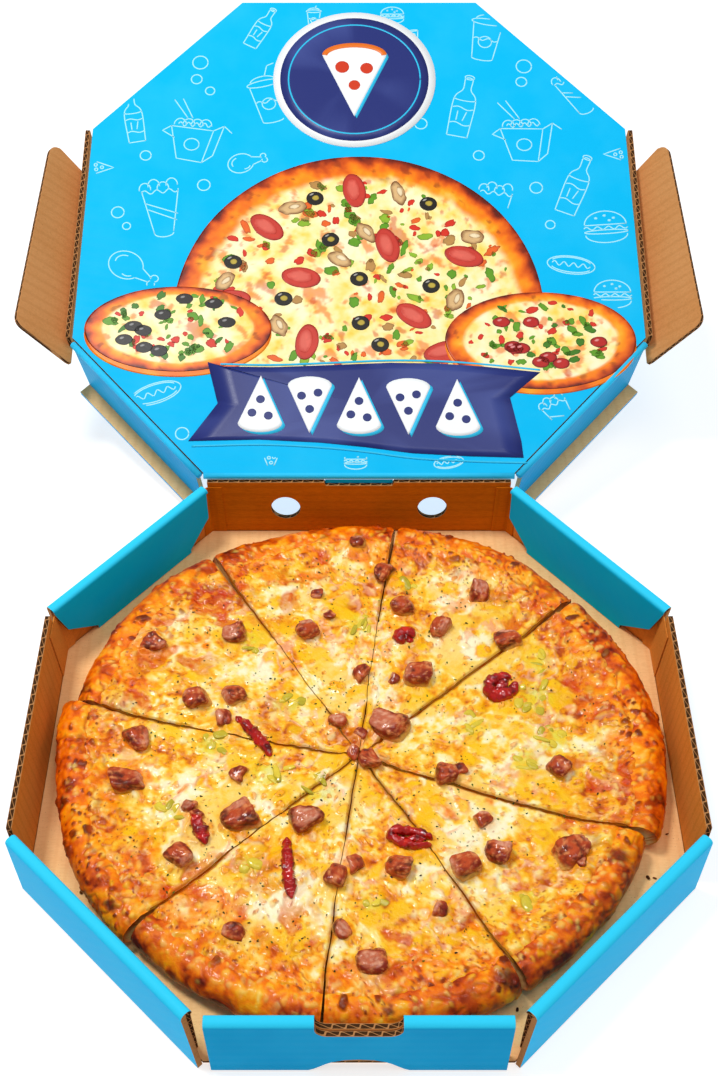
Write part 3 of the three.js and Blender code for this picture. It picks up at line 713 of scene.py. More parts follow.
def slab(top, under, tint, dry, side_tint):
    """A closed layer between a fine top (rows, columns, 3) and a coarser underside (rows, columns /
    COARSE, 3). The two cuts are ruled between them, and the outer edge is closed by small fans.
    side_tint(points, depth) gives the relief and colour of a cut."""
    columns = top.shape[1]
    brown = np.broadcast_to(colour("B06A28"), under.shape)
    parched = np.ones(under.shape[:2])
    shells = [grid_shell(top, tint=tint, dry=dry), grid_shell(under[:, ::-1], tint=brown, dry=parched)]
    depth = np.linspace(0, 1, LEVELS)[None, :]
    for end, sign in ((0, -1), (-1, 1)):
        high, low = top[:, end], under[:, end]
        wall = high[:, None] + (low - high)[:, None] * depth[..., None]
        relief, shade = side_tint(wall, depth)
        run = high[-1, :2] - high[0, :2]
        held = (depth > 0) & (depth < 1)
        shift = relief * held * ease(np.linalg.norm(high - low, axis=1), 0.3, 2)[:, None]
        wall[..., :2] += shift[..., None] * sign * left_of(run) / np.linalg.norm(run)
        dull = np.full(wall.shape[:2], 0.8)
        shells.append(grid_shell(wall[:, ::-sign], tint=shade[:, ::-sign], dry=dull))
    outer = np.arange(columns)
    inner = columns + np.repeat(np.arange(under.shape[1] - 1), COARSE)
    last = np.arange(1, under.shape[1])
    fans = np.stack([outer[:-1], inner, outer[1:]], -1)
    closing = np.stack([outer[last * COARSE], columns + last - 1, columns + last], -1)
    pairs = {"points": (top, under), "tint": (tint, brown), "dry": (dry, parched)}
    rim = {key: np.concatenate([upper[-1], lower[-1]]) for key, (upper, lower) in pairs.items()}
    strip = Shell(faces=np.concatenate([fans, closing]), **rim)
    return joined([*shells, strip]).welded().outward()


def column_shares(index):
    """Positions across a slice, closer to each other at both cuts, a multiple of COARSE in number."""
    (a, _), (b, _) = CUTS[index], CUTS[(index + 1) % SLICE_COUNT]
    width = math.radians((b - a) % 360) * PIZZA_RADIUS
    t = np.linspace(0, 1, COARSE * math.ceil(width / STEP / COARSE) + 1)
    return t - 0.175 * np.sin(TURN * t) / TURN


def cheese_cut(points, depth):
    """A cut through the cheese: butter yellow, with a line of sauce at its foot."""
    streaks = ease(rough(points[..., 0] + points[..., 1], points[..., 2], 4, 181), -0.3, 0.3)
    return 0 * streaks, paint(paint(AMBER, BUTTER, streaks), SAUCE, ease(depth, 0.55, 0.95) * 0.9)


def cheese_slice(index):
    """The layer of cheese on a slice: z = floor + crest(r) tall + relief, sinking into the rim at its
    uneven outer edge and rounded over the two cuts."""
    radius = np.linspace(0, 1, int(CHEESE_RADIUS / STEP) + 1)
    plan, theta, edge, shown, slid = on_slice(index, radius * CHEESE_RADIUS, column_shares(index))
    along = theta[-1] * PIZZA_RADIUS
    ragged = 2.6 * rough(along, 0, 13, 171) + 1.2 * rough(along, 9, 5, 173, 2)
    grown = 1 + (ragged / CHEESE_RADIUS)[None, :] * radius[:, None] ** 6
    plan = plan * grown[..., None]
    size = radius[:, None] * CHEESE_RADIUS * grown
    relief, tint, dry = baked_top(plan[..., 0], plan[..., 1])
    ends = 1 - ease(radius, 0.955, 1.0)[:, None]
    lip = np.exp(-((edge / 0.9) ** 2))
    crest = height_on(CHEESE_LINE, size) * tall(theta, size)
    z = PIZZA_FLOOR + crest + relief * ends - (0.2 + 0.65 * shown) * lip - 2.4 * (1 - ends)
    z[0] = z[0].mean()
    # Painted shade: beside each cut the cheese is painted brown, more where the cut opens wider.
    tint = paint(tint, paint(AMBER, BROWN, 0.75 * shown), (0.15 + 0.55 * shown) * lip)
    top = np.concatenate([plan + slid, z[..., None]], -1)
    under = top[:, ::COARSE].copy()
    floor = PIZZA_FLOOR + np.minimum(height_on(DOUGH_LINE, size[:, ::COARSE]), 16.0)
    under[..., 2] = np.minimum(floor, under[..., 2]) - 0.4
    return slab(top, under, tint, dry, cheese_cut)


def crust_slice(index):
    """The bread of a slice: flat under the cheese, up over the rim and down its outside. The relief
    moves each point along the surface's own normal."""
    t = column_shares(index)
    line = np.concatenate([lined(DOUGH_LINE[:3], 6.0), lined(DOUGH_LINE[2:] + SIDE_LINE, STEP)[1:]])
    radius, height = line.T
    over = travelled(line) - RIM_FOOT
    plan, theta, edge, _, slid = on_slice(index, radius, t)
    z = PIZZA_FLOOR + height[:, None] * tall(theta, radius[:, None])
    rise, run = np.gradient(height), np.gradient(radius)
    steep = np.hypot(rise, run)
    around = theta * PIZZA_RADIUS
    relief, tint, dry = baked_rim(plan[..., 0], plan[..., 1], around, over[:, None] + 0 * around)
    held = (ease(over, 0, 8) * (1 - ease(over, over[-1] - 4, over[-1])))[:, None]
    moved = (relief - 0.9 * np.exp(-((edge / 1.4) ** 2))) * held
    plan = plan + slid + ((-rise / steep)[:, None] * moved)[..., None] * unit(theta)
    z = z + (run / steep)[:, None] * moved
    z[-1] = PIZZA_FLOOR + 0.3
    z[0] = z[0].mean()
    contact = 140 + 13 * np.linspace(0, 1, len(radius)) ** 3
    foot = on_slice(index, np.minimum(radius, contact), t)[0]
    under = np.concatenate([foot + slid, np.full(foot.shape[:2] + (1,), PIZZA_FLOOR + 0.02)], -1)
    return slab(np.concatenate([plan, z[..., None]], -1), under[:, ::COARSE], tint, dry, crumb)


def baked_height(x, y):
    """Height of the cheese's top at plan points."""
    radius = np.hypot(x, y)
    crest = height_on(CHEESE_LINE, radius) * tall(np.arctan2(y, x), radius)
    return PIZZA_FLOOR + crest + baked_top(x, y)[0]


def add_pizza():
    """Eight slices, each of bread and of cheese."""
    cheese = food_finish("melted cheese", 0.26, 0.30, 0.9, 0.30)
    bread = food_finish("baked bread", 0.34, 0.15, 0.8, 0.25)
    for k in range(SLICE_COUNT):
        for kind, shape, slot, material in (
            ("crust", crust_slice, "baked_crust", bread),
            ("cheese", cheese_slice, "melted_cheese", cheese),
        ):
            node = f"{kind}_{k + 1}"
            make_object(f"slice_{k + 1}_{kind}", shape(k), "tray", slot, material, stands_for=(node,))


# --- Toppings ---

# Further diced sausage: place, and size from end to end
SMALL_DICE = [
    (-25, 103, 7), (-17, 87, 6), (-74, 15, 10), (-63, -21, 9), (-12, 13, 10), (1, 5, 7), (5, -12, 12),
    (-3, -8, 8), (53, -19, 8), (-88, -42, 8), (-2, -75, 9), (-11, -82, 12), (64, -49, 9), (-61, -113, 12),
    (-9, -111, 10), (40, -101, 8), (1, 45, 9), (-1, 141, 8), (-84, -47, 6), (112, -76, 6), (19, 41, 7),
]
# Pickled yellow and green pepper: place, how far its pieces are strewn, and how many there are
PICKLES = [
    (-1, 80, 9, 5), (96, 30, 12, 7), (103, 1, 9, 5), (89, -13, 9, 4), (-79, -2, 8, 4), (-97, -43, 7, 4),
    (6, -97, 7, 3), (-45, -20, 10, 5), (-20, -30, 9, 4), (30, 112, 5, 2), (60, 10, 9, 3), (-60, 70, 8, 3),
    (100, 55, 9, 4), (-40, 25, 9, 4), (85, -95, 8, 2), (-55, -75, 8, 2),
]
DICE_HEIGHT = 5.0  # half the height of a large piece of sausage
DICE_SINK = 1.3  # how far its top stays below that of its node
# The directions that a piece's pink cut side may face
DICED_SIDES = np.array([(0, -1, 0.25), (1, 0, 0.2), (-0.3, -1, 0.6), (-1, 0, 0.3), (0.2, 0.1, 1)])
STRIP_BOWS = {3: 0.10, 4: 0.08, 5: -0.04, 6: -0.25}  # how far each strip of pepper is bent


def lie_of(node):
    """Where a topping lies: the middle of its top, half its length and width, and its turn, which is
    that of the axis along which its points spread the most."""
    points = read(frame["nodes"][node].data.vertices, "co", 3) / MM
    points = np.unique(np.round(points, 2), axis=0)
    flat = points[:, :2] - points[:, :2].mean(0)
    spread, axes = np.linalg.eigh(flat.T @ flat)
    main = axes[:, np.argmax(spread)]
    sides = np.stack([main, left_of(main)])
    low, high = (points[:, :2] @ sides.T).min(0), (points[:, :2] @ sides.T).max(0)
    middle = (low + high) / 2 @ sides
    return np.array([*middle, points[:, 2].max()]), (high - low) / 2, math.atan2(main[1], main[0])


def named(kind):
    """The names of the numbered nodes of one kind, in order."""
    found = [n for n in frame["nodes"] if n.rsplit("_", 1)[0] == kind]
    return sorted(found, key=lambda n: int(n.rsplit("_", 1)[1]))


LIES = {node: lie_of(node) for node in named("sausage") + named("pepper")}
# Places where the cheese rises round a piece: plan position and half width
BEDS = [(centre[0], centre[1], half.mean()) for centre, half, _ in LIES.values()]
BEDS += [(x, y, size / 2) for x, y, size in SMALL_DICE]


def rotation(turn, lean=0.0, roll=0.0):
    """A turn about Z after a lean about Y and a roll about X, as a matrix for row vectors."""
    whole = np.eye(3)
    for angle, i, j in ((roll, 1, 2), (lean, 2, 0), (turn, 0, 1)):
        part = np.eye(3)
        part[i, i] = part[j, j] = math.cos(angle)
        part[i, j], part[j, i] = math.sin(angle), -math.sin(angle)
        whole = whole @ part
    return whole


def cube(count):
    """The six faces of a cube from -1 to 1, each a grid of count by count points."""
    u = np.linspace(-1, 1, count)
    a, b = np.meshgrid(u, u, indexing="ij")
    one = np.ones_like(a)
    sides = [(one, a, b), (-one, b, a), (b, one, a), (a, -one, b), (a, b, one), (b, a, -one)]
    return joined([grid_shell(np.stack(side, -1)) for side in sides]).welded()


def rounded(shell, power):
    """Each point's direction d, and its place pushed along d onto |x|^p + |y|^p + |z|^p = 1."""
    d = shell.points / np.linalg.norm(shell.points, axis=1, keepdims=True)
    return d, d / (np.abs(d) ** power).sum(1, keepdims=True) ** (1 / power)


def solid_noise(points, size, seed):
    """Noise in space: two plane noises read across slanted planes."""
    x, y, z = points.T
    level = rough(x + 0.7 * z, y - 0.6 * z, size, seed)
    return 0.5 * (level + rough(y + 0.5 * z, z - 0.4 * x, size, seed + 7))


def diced(centre, half, turn, seed, detail=19):
    """A piece of fried sausage: a rounded block with a power from 2.7 to 4.6, pinched towards one end,
    bowed, sheared and lumpy, its skin fried and its dents painted dark as painted shade, one cut side
    pink, its foot in the cheese."""
    pick = np.random.default_rng(seed)
    shell = cube(detail)
    d, shape = rounded(shell, pick.uniform(2.7, 4.6))
    pinch, shear, bow = pick.uniform(-0.38, 0.38), pick.uniform(-0.35, 0.35), pick.uniform(-0.10, 0.42)
    points = shape * (1 + 0.22 * solid_noise(3 * shape + 5 * seed, 3.4, 201))[:, None]
    points[:, 1] = points[:, 1] * (1 + pinch * points[:, 0]) - bow * points[:, 0] ** 2 + 0.3 * bow
    points[:, 0] += shear * points[:, 2] + 0.15 * pick.uniform(-1, 1) * points[:, 1]
    points = points * half
    shrunk = 0.80 * solid_noise(points + 9 * seed, 3.4, 203) + 0.42 * solid_noise(points, 1.4, 205)
    points += d * shrunk[:, None]
    side = DICED_SIDES[seed % len(DICED_SIDES)]
    facing = ease(d @ (side / np.linalg.norm(side)), 0.66, 0.84) * pick.uniform(0.55, 1.0)
    mottle = solid_noise(points, 3.2, 207) + pick.uniform(-0.25, 0.25)
    red, dark, fat, burnt, meat, pink, cheese = colours("C24A1C 8A240A EE9458 480E02 CC6E4C F2B494 F6BC58")
    tint = paint(red, dark, ease(mottle, -0.35, 0.35))
    tint = paint(tint, fat, ease(solid_noise(points, 1.8, 209), 0.0, 0.40) * 0.80)
    # Painted shade: the dents, where the surface is pulled in, are painted near black.
    tint = paint(tint, burnt, ease(shrunk, 0.0, -0.45) * 0.85)
    inside = paint(meat, pink, ease(solid_noise(points, 1.5, 211), -0.2, 0.4) * 0.85)
    tint = paint(tint, inside, facing)
    tint = paint(tint, cheese, ease(-points[:, 2] / half[2] + 0.5 * mottle, -0.05, 0.45) * 0.72)
    points = points @ rotation(turn, pick.uniform(-0.3, 0.3), pick.uniform(-0.3, 0.3)) + centre
    dry = np.clip(0.25 + 0.5 * facing + 0.3 * mottle, 0, 1)
    return Shell(points, shell.faces, tint=tint, dry=dry).outward()


def strand(path, width, height, seed):
    """A strip of roasted pepper along a path on the cheese: an ellipse with half axes w and h,
    carried along the path and narrowed towards both ends by (1 - s^3)^0.6. It is creased across and
    puckered by noise."""
    s = np.abs(np.linspace(-1, 1, len(path)))[:, None]
    around = np.linspace(0, TURN, 33)[:-1]
    length = travelled(path)[:, None]
    ends = np.clip(1 - s**3, 0, 1) ** 0.6
    uneven = 1 + 0.42 * rough(length, 0, 5.5, seed, 2)
    crease = 1 - np.abs(rough(length * 1.5, 5 * around, 5.0, seed + 3, 2)) * 3.0
    pucker = rough(length, 2.2 * width * np.sin(around), 3.2, seed + 5, 2)
    swollen = 0.70 * ease(crease, 0.2, 1.0) + 0.80 * pucker
    across = (width * uneven + swollen) * ends * np.cos(around)
    high = (height * uneven**0.5 + swollen) * ends * np.sin(around)
    plan = path[:, None] + beside(path)[:, None] * across[..., None]
    z = baked_height(path[:, 0], path[:, 1])[:, None] + 0.30 * height + high
    shade = 0.5 * pucker + 0.4 * rough(length, 9 * around, 7, seed + 9, 2)
    red, dark, bright = colours("B40A06 4E0202 E0280C")
    tint = paint(red, dark, ease(shade, -0.05, 0.45) * 0.9)
    tint = paint(tint, bright, ease(shade, -0.05, -0.5) * 0.75)
    points = np.concatenate([plan, z[..., None]], -1)
    points[0], points[-1] = points[0].mean(0), points[-1].mean(0)
    return tube(points, tint=tint, dry=0 * z)


def pepper_piece(node, number):
    """A strip lies along a shallow bow; the two broad pieces are curled into a loop round a core."""
    (x, y, _), (half_long, half_wide), turn = LIES[node]
    about = rotation(turn)[:2, :2]
    if half_wide < 6:
        along = np.linspace(-half_long, half_long, 110)
        aside = STRIP_BOWS[number] * (along**2 / half_long - half_long / 3)
        path = np.stack([along, aside], -1) @ about + (x, y)
        return strand(path, 0.42 * half_wide + 1.2, 2.6, 300 + number)
    sweep, thick = (330, 0.36) if half_long > 9 else (250, 0.48)
    thick = thick * half_wide
    a = np.radians(np.linspace(-sweep / 2, sweep / 2, 90))
    loop = (np.array([half_long, half_wide]) - thick) * unit(a) @ about + (x, y)
    heart = np.linspace(-0.55 * half_long, 0.55 * half_long, 50)
    core = np.stack([heart, 0.2 * half_wide * np.sin(heart / 3)], -1) @ about + (x, y)
    curl = strand(loop, thick, 3.4, 300 + number)
    return joined([curl, strand(core, 0.3 * half_wide, 1.6, 340 + number)])


def strewn(pieces, shell, power, sizes, tints, sink, seed):
    """Many small rounded blocks as one shell: block k has the place pieces[k], a size and a colour
    drawn between the limits given, and any turn. Each is painted darker towards its underside as
    painted shade."""
    pick = np.random.default_rng(seed)
    _, shape = rounded(shell, power)
    made = []
    for x, y, z in pieces:
        half = np.array([pick.uniform(*limits) for limits in sizes])
        lump = 1 + 0.38 * solid_noise(2 * shape + pick.uniform(0, 90), 2.0, 221)
        points = shape * lump[:, None] * half
        high = points[:, 2] / half[2]
        points = points @ rotation(pick.uniform(0, 6.28), pick.uniform(-0.3, 0.3), pick.uniform(-0.3, 0.3))
        share = np.clip(pick.uniform(0, 1) + 0.35 * solid_noise(points, 2.2, 223), 0, 1)
        # Painted shade: each block's lower part is painted towards the third, darker colour.
        tint = paint(paint(tints[0], tints[1], share), tints[2], ease(high, -0.1, -0.8) * 0.7)
        points += (x, y, z + half[2] * sink)
        made.append(Shell(points, shell.faces, tint=tint, dry=np.zeros(len(points))))
    return joined(made)


def pickle_places():
    """Pieces strewn evenly over a small disc about each middle."""
    pick = np.random.default_rng(11)
    for x, y, reach, count in PICKLES:
        for _ in range(count):
            turn, far = pick.uniform(0, TURN), reach * math.sqrt(pick.uniform(0, 1))
            yield x + far * math.cos(turn), y + far * math.sin(turn)


def herb_flakes(count):
    """Dried herbs: each flake a six-cornered lens, twice as long as wide, curled by its length
    squared, lying on the cheese. Their places crowd towards the middle of the pizza."""
    pick = np.random.default_rng(23)
    own = np.arange(6)
    corner, after = own * math.pi / 3, (own + 1) % 6
    lens = np.zeros((8, 3))
    lens[:6, 0] = np.cos(corner)
    lens[:6, 1] = 0.5 * np.sin(corner) * (1 + 0.3 * np.cos(3 * corner))
    lens[6:, 2] = 0.16, -0.10
    above, below = (own, after, 0 * own + 6), (after, own, 0 * own + 7)
    faces = np.concatenate([np.stack(above, -1), np.stack(below, -1)])
    turn, far = pick.uniform(0, TURN, count), 137 * pick.uniform(0.02, 1, count) ** 0.62
    plan = far[:, None] * unit(turn)
    plan = plan[rough(*plan.T, 26, 231, 2) > -0.25]
    count = len(plan)
    size = pick.uniform(0.35, 1.0, count) ** 1.3 * 0.95
    heading, tilt = pick.uniform(0, TURN, count), pick.uniform(-0.5, 0.5, count)
    points = lens[None] * size[:, None, None]
    long, wide, high = np.moveaxis(points, -1, 0)
    high = high + 0.25 * long**2 + tilt[:, None] * long + (baked_height(*plan.T) + 0.12)[:, None]
    ahead = unit(heading)[:, None]
    flat = plan[:, None] + long[..., None] * ahead + wide[..., None] * left_of(ahead)
    kind = pick.uniform(0, 1, count)
    green, olive, brown = colours("1C2A08 55661A 140C06")
    tint = paint(paint(green, olive, ease(kind, 0.55, 1.0)), brown, (kind < 0.35) * 1.0)
    every = faces[None] + 8 * np.arange(count)[:, None, None]
    points = np.concatenate([flat, high[..., None]], -1)
    return Shell(points, every, tint=np.repeat(tint, 8, axis=0), dry=np.full(8 * count, 0.6))


def add_toppings():
    """The sausage and peppers that stand for nodes, and the small things strewn between them."""
    sausage = food_finish("fried sausage", 0.34, 0.45, 0.8, 0.60)
    pepper = food_finish("roasted pepper", 0.10, 0.9, 1.0, 0.22)
    pickle = food_finish("pickled pepper", 0.16, 0.6, 1.1, 0.25)
    herb = food_finish("dried herb", 0.55, 0.0, 0.4, 0.05)
    crust = food_finish("loose crumb", 0.55, 0.0, 0.5, 0.2)
    for number, node in enumerate(named("sausage"), 1):
        centre, half, turn = LIES[node]
        centre, half = centre - (0, 0, DICE_HEIGHT + DICE_SINK), np.array([*(0.98 * half), DICE_HEIGHT])
        shell = diced(centre, half, turn, number)
        make_object(f"diced_sausage_{number}", shell, "tray", "diced_sausage", sausage, stands_for=(node,))
    for number, node in enumerate(named("pepper"), 1):
        shell = pepper_piece(node, number)
        make_object(f"roasted_pepper_{number}", shell, "tray", "red_pepper", pepper, stands_for=(node,))
    bits = []
    for number, (x, y, size) in enumerate(SMALL_DICE):
        half = size / 2 * np.array([1.0, 0.82, 0.72])
        z = baked_height(np.array([x]), np.array([y]))[0] + 0.35 * half[2]
        bits.append(diced(np.array([x, y, z]), half, 2.4 * number, 40 + number, 11))
    make_object("small_sausage_bits", joined(bits), "tray", "diced_sausage", sausage)

    x, y = np.array(list(pickle_places())).T
    places = np.stack([x, y, baked_height(x, y)], -1)
    sizes = [(1.8, 5.4), (1.2, 3.0), (0.8, 1.4)]
    blocks = strewn(places, cube(8), 2.5, sizes, colours("B8A828 ECD040 80801C"), -0.45, 31)
    make_object("pickled_pepper_bits", blocks, "tray", "melted_cheese", pickle)
    make_object("herb_flakes", herb_flakes(1150), "tray", "baked_crust", herb, smooth=False)

    pick = np.random.default_rng(41)
    turn, far = pick.uniform(0, TURN, 26), pick.uniform(163.5, 171, 26)
    places = np.concatenate([far[:, None] * unit(turn), np.full((26, 1), BOARD)], -1)
    places = places[(np.abs(places[:, 0]) < 164) & (np.abs(places[:, 1]) < 160)]
    sizes = [(0.5, 1.3), (0.4, 1.0), (0.35, 0.8)]
    grains = strewn(places, cube(4), 3.0, sizes, colours("8A4A14 2C1206 5A2A0C"), 0.9, 43)
    make_object("loose_crumbs", grains, "tray", "baked_crust", crust)


# --- The lid's print ---

NAVY, NAVY_LIFTED, WHITE, LINE, ECHO = colours("222E74 3A488C F6FAFC A9EEFF 2CC2EE")
INK = 0.035  # thickness of one layer of ink

# Places on the lid in its own plane, x across and u out from the hinge, with half sizes or radii
LID_OUTLINE = np.array(
    [(93.4, 1), (177, 92), (172, 243), (77.5, 341.5), (-77.5, 341.5), (-172, 243), (-177, 92), (-93.4, 1)]
)
BIG_PIZZA = (0, 108, 116, 114)
BIG_PIZZA_FOOT = 71.0  # where it ends, behind the ribbon
LEFT_PIZZA = (-112, 98, 58, 29.5)
RIGHT_PIZZA = (112, 90, 59, 33.5)
BADGE = (-3, 281, 50)
SALAMI = [(-3, 197), (-58, 170), (18, 157), (66, 149), (-36, 134), (34, 107), (-32, 89), (52, 82), (-80, 118)]
UPRIGHT_SALAMI = (0, 2, 6)
OLIVES = [(-28, 191), (44, 187), (-18, 161), (-79, 145), (0, 133), (45, 128), (-47, 119), (1, 102), (13, 87)]
MUSHROOMS = [(-42, 184), (25, 195), (72, 163), (4, 166), (-84, 131), (-12, 147), (-50, 100), (60, 118)]
RIBBON = [
    (-93, 75), (-85, 72), (-52, 71.5), (-15, 73), (19, 74.5), (48, 74), (75, 72), (111, 68), (92, 51),
    (98, 22), (99, 11), (66, 12), (32, 14), (4, 18), (-23, 21), (-60, 23), (-103, 22), (-86, 47),
]
RINGS = [
    (-104, 294, 5), (-106, 281, 3.5), (108, 291, 5), (106, 279, 3.5), (-137, 223, 3.5), (-99, 201, 4),
    (-153, 181, 4), (-147, 171, 2.5), (-107, 27, 4), (113, 199, 4), (121, 172, 3), (77, 223, 3.5),
    (40, 247, 4), (-97, 272, 3),
]
# Line drawings: for each kind its places, half heights and turns in degrees
DRAWINGS = {
    "noodles": [(-105, 240, 22, -4), (108, 240, 22, 4)],
    "wrap": [(-126, 186, 23, 6), (86, 186, 20, -8), (140, 272, 19, 24), (122, 40, 16, 30)],
    "leg": [(-143, 139, 19, -30), (-72, 217, 14, 20)],
    "bottle": [(139, 202, 23, -22), (68, 261, 24, -12), (-64, 322, 17, -28), (-146, 252, 19, 10)],
    "burger": [(156, 170, 14, 4), (158, 122, 12, 0), (-2, 9, 7, 0), (22, 331, 8, 0)],
    "roll": [(133, 143, 15, -8), (-124, 54, 16, 20), (54, 8, 9, 10)],
    "cup": [(-60, 268, 20, 14), (84, 316, 20, -10), (-30, 330, 9, 0)],
    "slice": [(35, 312, 10, 20), (-53, 9, 8, 0), (-166, 214, 9, 90), (166, 224, 9, -90)],
}


def on_lid(x, u, rise):
    """Points on the printed face: hinge + x X + u out + (half the board + rise) up."""
    x, u, rise = (part[..., None] for part in np.broadcast_arrays(x, u, rise))
    return HINGE + x * ACROSS + u * LID_OUT + (BOARD / 2 + rise) * LID_UP


def field_of_ink(outline, layer, tint, shares=(0, 0.5, 0.85, 1)):
    """A closed flake of ink: c + r (outline - c) for r from 0 to 1, at the height of its layer, with
    its underside sunk in the board. tint is a colour or a function of x, u and r."""
    outline = np.asarray(outline, float)
    centre = outline.mean(0)
    r = np.asarray(shares, float)[:, None, None]
    plan = centre + r * (outline - centre)[None]
    rise = np.full(plan.shape[:2], layer * INK)
    if callable(tint):
        shade = tint(plan[..., 0], plan[..., 1], r[..., 0] + 0 * rise)
    else:
        shade = tint + 0 * plan[..., :1]
    plan, shade = (np.concatenate([part, part[-1:], part[:1]]) for part in (plan, shade))
    rise = np.concatenate([rise, np.full((2, len(outline)), -0.25)])
    return tube(on_lid(plan[..., 0], plan[..., 1], rise), tint=shade)


def turned(points, x, u, turn):
    """Points of a drawing turned and moved to their place."""
    c, s = math.cos(turn), math.sin(turn)
    return points @ np.array([(c, s), (-s, c)]) + (x, u)


def oval(x, u, across, along, turn=0.0, count=28, uneven=0.0, seed=0):
    """An outline (a cos t, b sin t), turned, with its size uneven by a smooth noise."""
    circle = unit(np.linspace(0, TURN, count, endpoint=False))
    size = 1 + uneven * rough(3 * circle[:, 0] + 5 * seed, 3 * circle[:, 1], 2.1, 241 + seed, 2)
    return turned(circle * (across, along) * size[:, None], x, u, turn)


def edged(points, step=2.0):
    """A closed outline with straight sides, its corners kept and its sides filled in."""
    points = np.asarray(points, float)
    filled = []
    for a, b in zip(points, np.roll(points, -1, axis=0)):
        count = max(1, int(np.linalg.norm(b - a) / step))
        filled.append(a + (b - a) * (np.arange(count) / count)[:, None])
    return np.concatenate(filled)


def ink_line(path, width, layer, tint):
    """A closed low ridge of ink along a path, with the section of a flat roof."""
    path = np.asarray(path, float)
    across = width * np.array([-0.5, -0.42, 0.42, 0.5])
    rise = np.array([-0.2, layer * INK, layer * INK, -0.2])
    plan = path[:, None] + beside(path)[:, None] * across[None, :, None]
    points = capped(on_lid(plan[..., 0], plan[..., 1], rise[None]))
    return tube(points, tint=tint + 0 * points)


def arc(x, y, across, high, start, end, count=18):
    """Part of an ellipse, from one angle to another in degrees."""
    return (x, y) + unit(np.radians(np.linspace(start, end, count))) * (across, high)


def ring(x, y, across, high, count=18):
    """A whole ellipse."""
    return arc(x, y, across, high, 0, 360, count)


def wave(start, end, y, high, turns):
    """A sine line from one x to another."""
    share = np.linspace(0, 1, 30)
    return np.stack([start + (end - start) * share, y + high * np.sin(turns * TURN * share)], -1)


# Lines of small pictures, each in a box from -1 to 1: takeaway foods drawn with arcs, waves and strokes
PICTURES = {
    "burger": [
        arc(0, 0.15, 0.95, 0.7, 0, 180, 24), [(-0.95, 0.15), (0.95, 0.15)], wave(-1, 1, -0.02, 0.08, 4),
        ring(0, -0.22, 1.0, 0.1), arc(0, -0.36, 0.95, 0.42, 180, 360, 20),
        *(ring(x, y, 0.06, 0.03, 8) for x, y in ((-0.4, 0.5), (0, 0.62), (0.4, 0.48), (0.2, 0.36))),
    ],
    "cup": [
        [(-0.48, 0.45), (-0.34, -0.95)], [(0.48, 0.45), (0.34, -0.95)], arc(0, -0.95, 0.34, 0.08, 180, 360),
        ring(0, 0.5, 0.55, 0.12, 26), arc(0, 0.58, 0.42, 0.2, 0, 180), [(0.08, 0.75), (0.26, 1.15)],
        [(0.26, 1.15), (0.5, 1.2)], wave(-0.4, 0.4, -0.2, 0.05, 2), ring(0, -0.3, 0.22, 0.22),
    ],
    "bottle": [
        lined([(-0.28, -1), (-0.3, 0.15), (-0.11, 0.5), (-0.1, 0.85), (0.1, 0.85), (0.11, 0.5), (0.3, 0.15),
               (0.28, -1)], 0.06),
        [(-0.28, -1), (0.28, -1)], ring(0, 0.9, 0.13, 0.07, 14), wave(-0.28, 0.28, -0.1, 0.04, 1),
        wave(-0.28, 0.28, -0.6, 0.04, 1), [(-0.12, -0.5), (-0.12, -0.2)], [(0.05, -0.5), (0.12, -0.2)],
        arc(0, 0.2, 0.3, 0.06, 180, 360),
    ],
    "leg": [
        arc(-0.25, 0.1, 0.6, 0.5, 20, 330, 30), [(0.3, 0.27), (0.75, 0.1)], [(0.27, -0.15), (0.72, -0.08)],
        arc(0.84, 0.14, 0.13, 0.12, -60, 220, 14), arc(0.84, -0.1, 0.13, 0.12, 130, 410, 14),
        arc(-0.3, 0.15, 0.35, 0.28, 100, 200), arc(-0.1, -0.05, 0.25, 0.2, 250, 330),
    ],
    "noodles": [
        [(-0.75, 0.2), (-0.5, -0.9), (0.25, -1.0), (0.5, 0.1), (-0.75, 0.2)], [(0.5, 0.1), (0.8, 0.28)],
        [(0.8, 0.28), (0.55, -0.75), (0.25, -1.0)], [(-0.75, 0.2), (-1.0, 0.02), (-0.62, -0.2)],
        [(0.8, 0.28), (1.05, 0.05)], [(-0.3, 0.5), (-0.75, 1.1)], [(-0.15, 0.5), (-0.5, 1.15)],
        *(arc(x, 0.25, 0.18, 0.22, 0, 180, 10) for x in (-0.5, -0.25, 0.0, 0.25)),
        ring(-0.1, -0.4, 0.22, 0.2), wave(-0.55, 0.4, 0.28, 0.07, 4),
    ],
    "wrap": [
        [(-0.5, 0.5), (-0.22, -0.9)], [(0.52, 0.5), (0.3, -0.85)], arc(0.04, -0.88, 0.26, 0.12, 180, 360),
        wave(-0.5, 0.52, 0.45, 0.06, 3), [(-0.42, 0.1), (0.46, -0.3)], [(-0.36, -0.1), (0.42, -0.5)],
        *(arc(0.25 * k - 0.4, 0.55 + 0.1 * (k % 2), 0.16, 0.2, -10, 190, 10) for k in range(4)),
    ],
    "roll": [
        ring(0, 0, 1.0, 0.42, 34), wave(-0.8, 0.8, 0.02, 0.1, 4), arc(0, 0.06, 0.85, 0.3, 20, 160),
        arc(0, -0.06, 0.85, 0.28, 200, 340),
    ],
    "slice": [
        [(-0.6, 0.55), (0.0, -1.0), (0.6, 0.55)],
        arc(0, 0.5, 0.62, 0.22, 0, 180), arc(0, 0.5, 0.6, 0.1, 0, 180),
        *(ring(x, y, 0.12, 0.11, 12) for x, y in ((-0.15, 0.25), (0.22, 0.3), (0.02, -0.15))),
    ],
}


def stroke(corners):
    """Straight strokes from corner to corner, each with six points."""
    corners = np.asarray(corners, float)
    share = np.linspace(0, 1, 6)[:, None]
    path = np.concatenate([a + (b - a) * share for a, b in zip(corners, corners[1:])])
    return path[np.concatenate([[True], np.linalg.norm(np.diff(path, axis=0), axis=1) > 1e-6])]


